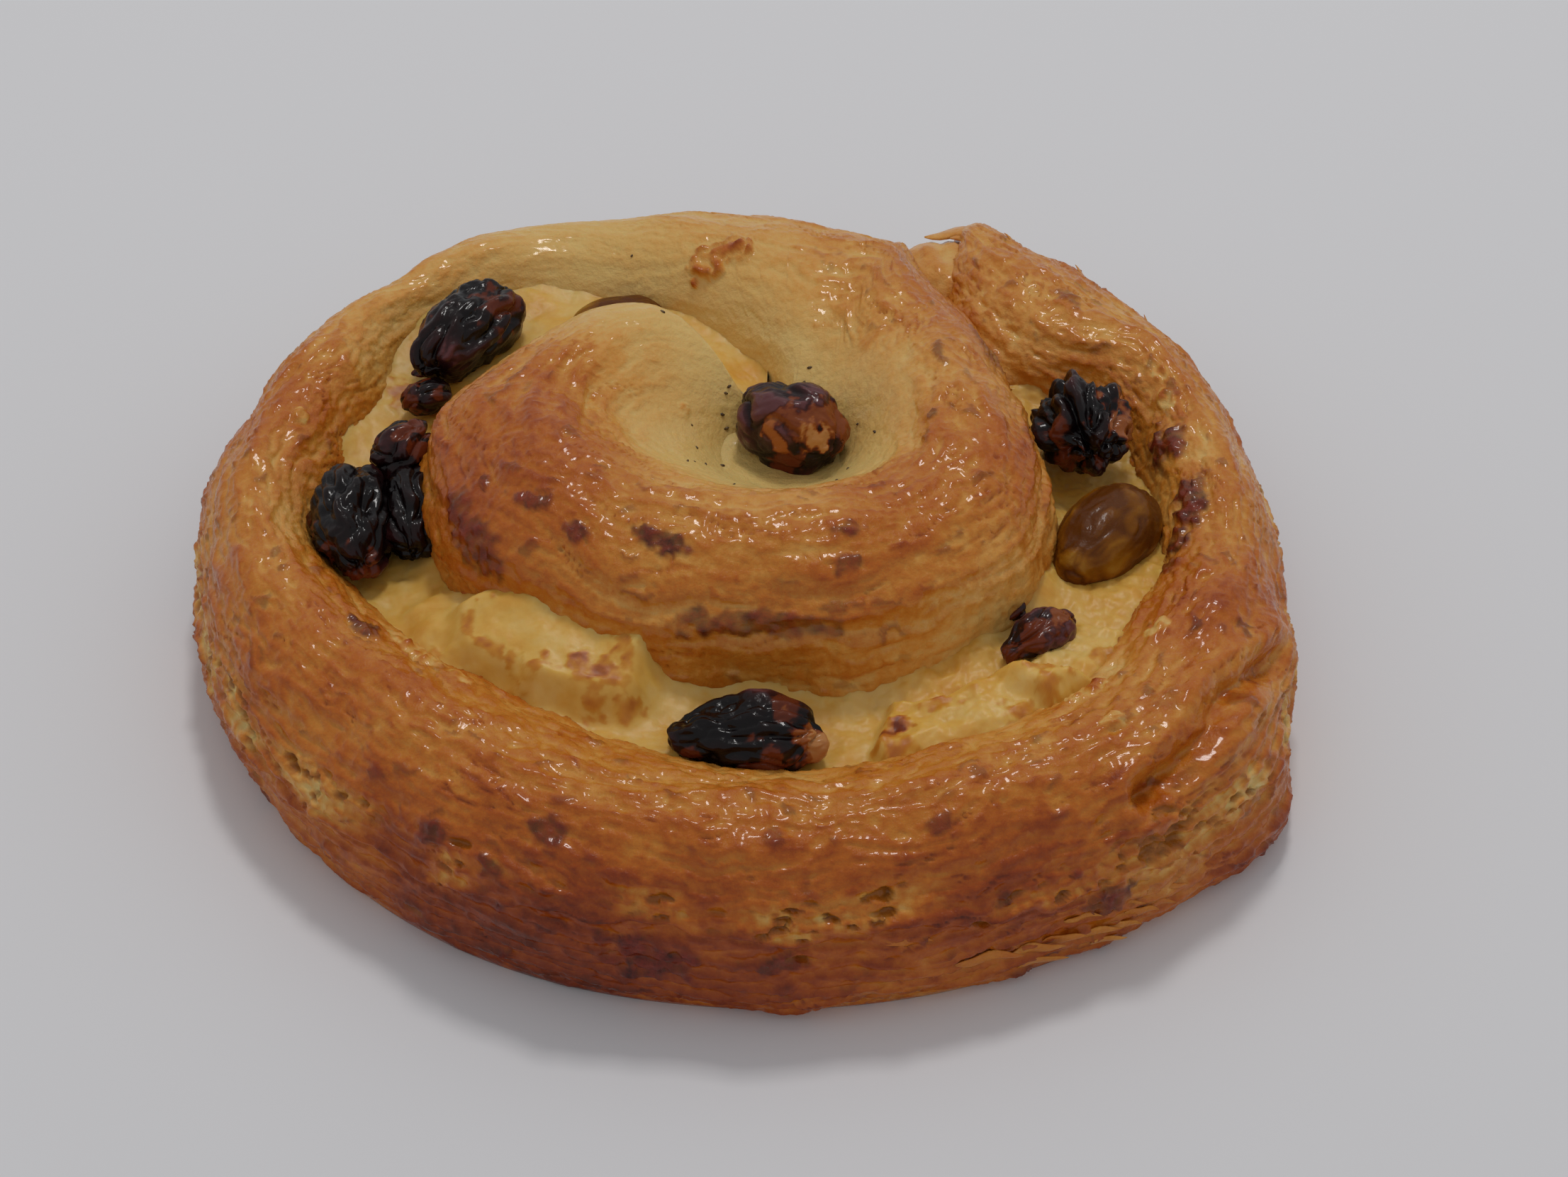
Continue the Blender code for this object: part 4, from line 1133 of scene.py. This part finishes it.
# %% The tail's torn tip, a bundle of longer leaves that point back across the notch
# Leaves of the tip: x, y, z, the direction they point in, length, half width, lift, brownness
tip_leaves = np.array([
    (24.8, 46.2, 17.1, -0.96, 0.02, -0.14, 7.4, 1.5, -0.3, .32),
    (26.6, 45.2, 17.4, -0.95, -0.10, -0.14, 5.6, 1.3, 0.2, .36),
    (25.8, 44.4, 16.5, -0.92, -0.30, -0.20, 5.0, 1.0, 0.2, .34)])
aim = tip_leaves[:, 3:6] / np.linalg.norm(tip_leaves[:, 3:6], axis=1, keepdims=True)
skyward = np.array([0.0, 0.25, 0.97])
up = skyward - aim * (aim @ skyward)[:, None]
up /= np.linalg.norm(up, axis=1, keepdims=True)
leaves("torn_tail_tip", tip_leaves[:, :3], aim, up, tip_leaves[:, 6:9], 0.35, tip_leaves[:, 9])

# %% Burnt juice beside the fruit, as small crumpled lumps
drops = [
    (-37.4, 13.2, 17.0, 4.2, 2.4, 1.4, 24, 6, 0.35, 2.1), (22.2, -23.4, 15.6, 3.2, 2.4, 1.6, 30, 6, 0.4, 2.1),
    (23.4, -2.8, 21.4, 3.4, 2.2, 1.6, 150, -24, 0.4, 2.1)]
lumps = [dried_shell(row, 700 + 20 * k, 22, 28) for k, row in enumerate(drops)]
lump_points, lump_faces = joined([lump[:2] for lump in lumps])
# The juice's hue follows the same painted fold shade.
lump_fold_shade = np.concatenate([lump[2] for lump in lumps])
toffee_hues = [(0.15, "2A0C08"), (0.45, "5A2010"), (0.70, "8A4218"), (0.95, "B87434")]
toffee = new_material("burnt_fruit_juice", dried_skin, toffee_hues, 1.2, 0.25, 0.24, 0.3)
mesh_piece("burnt_juice", lump_points, lump_faces, {"fold_shade_and_tone": lump_fold_shade, "tan": 0 * lump_fold_shade},
           toffee, "dark_raisin")

# %% Vanilla seeds in the custard and the crater
pale = skin[(skin[:, 6] < 0.16) & (skin[:, 2] > 12.5) & (skin[:, 5] > 0.45)]
chosen = pale[rng.choice(len(pale), 30, replace=False)]
headings = rng.uniform(0, 180, len(chosen))
sizes = rng.uniform(0.10, 0.24, (len(chosen), 1)) * np.array([[1.6, 0.9, 0.7]])
seed, seed_sides = closed_tube(unit_ball(3, 6), np.array([[1, 0, 0], [-1, 0, 0]]))
seed_points, seed_faces = joined([
    (seed * size @ spun(heading).T + place[:3], seed_sides)
    for size, heading, place in zip(sizes, headings, chosen)])


def vanilla_seed(tree):
    """Dark brown, a little paler in spots."""
    place = node(tree, "TexCoord").outputs["Object"]
    tone = node(tree, "TexNoise", {"Vector": place, "Scale": 1 / 0.001}).outputs["Fac"]
    hue = set_ramp(node(tree, "ValToRGB", {"Fac": tone}), [(0.35, "3A2614"), (0.65, "76582C")])
    return {"Base Color": hue, "Roughness": 0.5}


seed_look = new_material("vanilla_seed", vanilla_seed)
mesh_piece("vanilla_seeds", seed_points, seed_faces, {}, seed_look, "baked_custard")




# %% [markdown]
# ## Floor, light and camera
# The pastry stands on a plain pale sheet in soft daylight from above and behind, so its crowns catch a
# broken gloss and its near side falls into a short soft shadow.

# %% Floor and lights
def matt_card(tree):
    """Plain pale grey, nearly without gloss."""
    return {"Base Color": colour("E6E5E7"), "Roughness": 0.9, "Specular IOR Level": 0.2}


half = 0.9
sheet = bpy.data.meshes.new("floor")
corners = [(-half, -half, 0), (half, -half, 0), (half, half, 0), (-half, half, 0)]
sheet.from_pydata(corners, [], [(0, 1, 2, 3)])
sheet.materials.append(new_material("matt_card", matt_card))
floor = placed("floor", sheet)

world = bpy.data.worlds.new("soft_room")
bpy.context.scene.world = world
world.use_nodes = True
sky = world.node_tree.nodes["Background"]
sky.inputs["Color"].default_value = (0.96, 0.98, 1.0, 1.0)
sky.inputs["Strength"].default_value = 0.455

# A square area light aimed at the pastry's middle
pastry_middle = Vector((0, 0, 0.012))
lamp = bpy.data.lights.new("window_overhead", "AREA")
lamp.shape = "SQUARE"
lamp.size = 0.17
lamp.energy = 2.4
lamp.color = (1.0, 0.98, 0.96)
window = placed("window_overhead", lamp)
window.location = (0.06, 0.40, 0.95)
window.rotation_euler = (pastry_middle - window.location).to_track_quat("-Z", "Y").to_euler()

# %% Camera, 42 degrees above the horizon in front of the pastry
lens = bpy.data.cameras.new("camera")
lens.lens = 60
lens.sensor_width = 36
lens.clip_start, lens.clip_end = 0.01, 10
camera = placed("camera", lens)
camera.location = (0.00465, -0.200487, 0.184955)
aim = Vector((0.00465, -0.00618, 0.010)) - camera.location
camera.rotation_euler = aim.to_track_quat("-Z", "Y").to_euler()
bpy.context.scene.camera = camera
bpy.context.scene.view_settings.view_transform = "Standard"
print("camera stands", round(1000 * aim.length), "mm from the point it looks at")
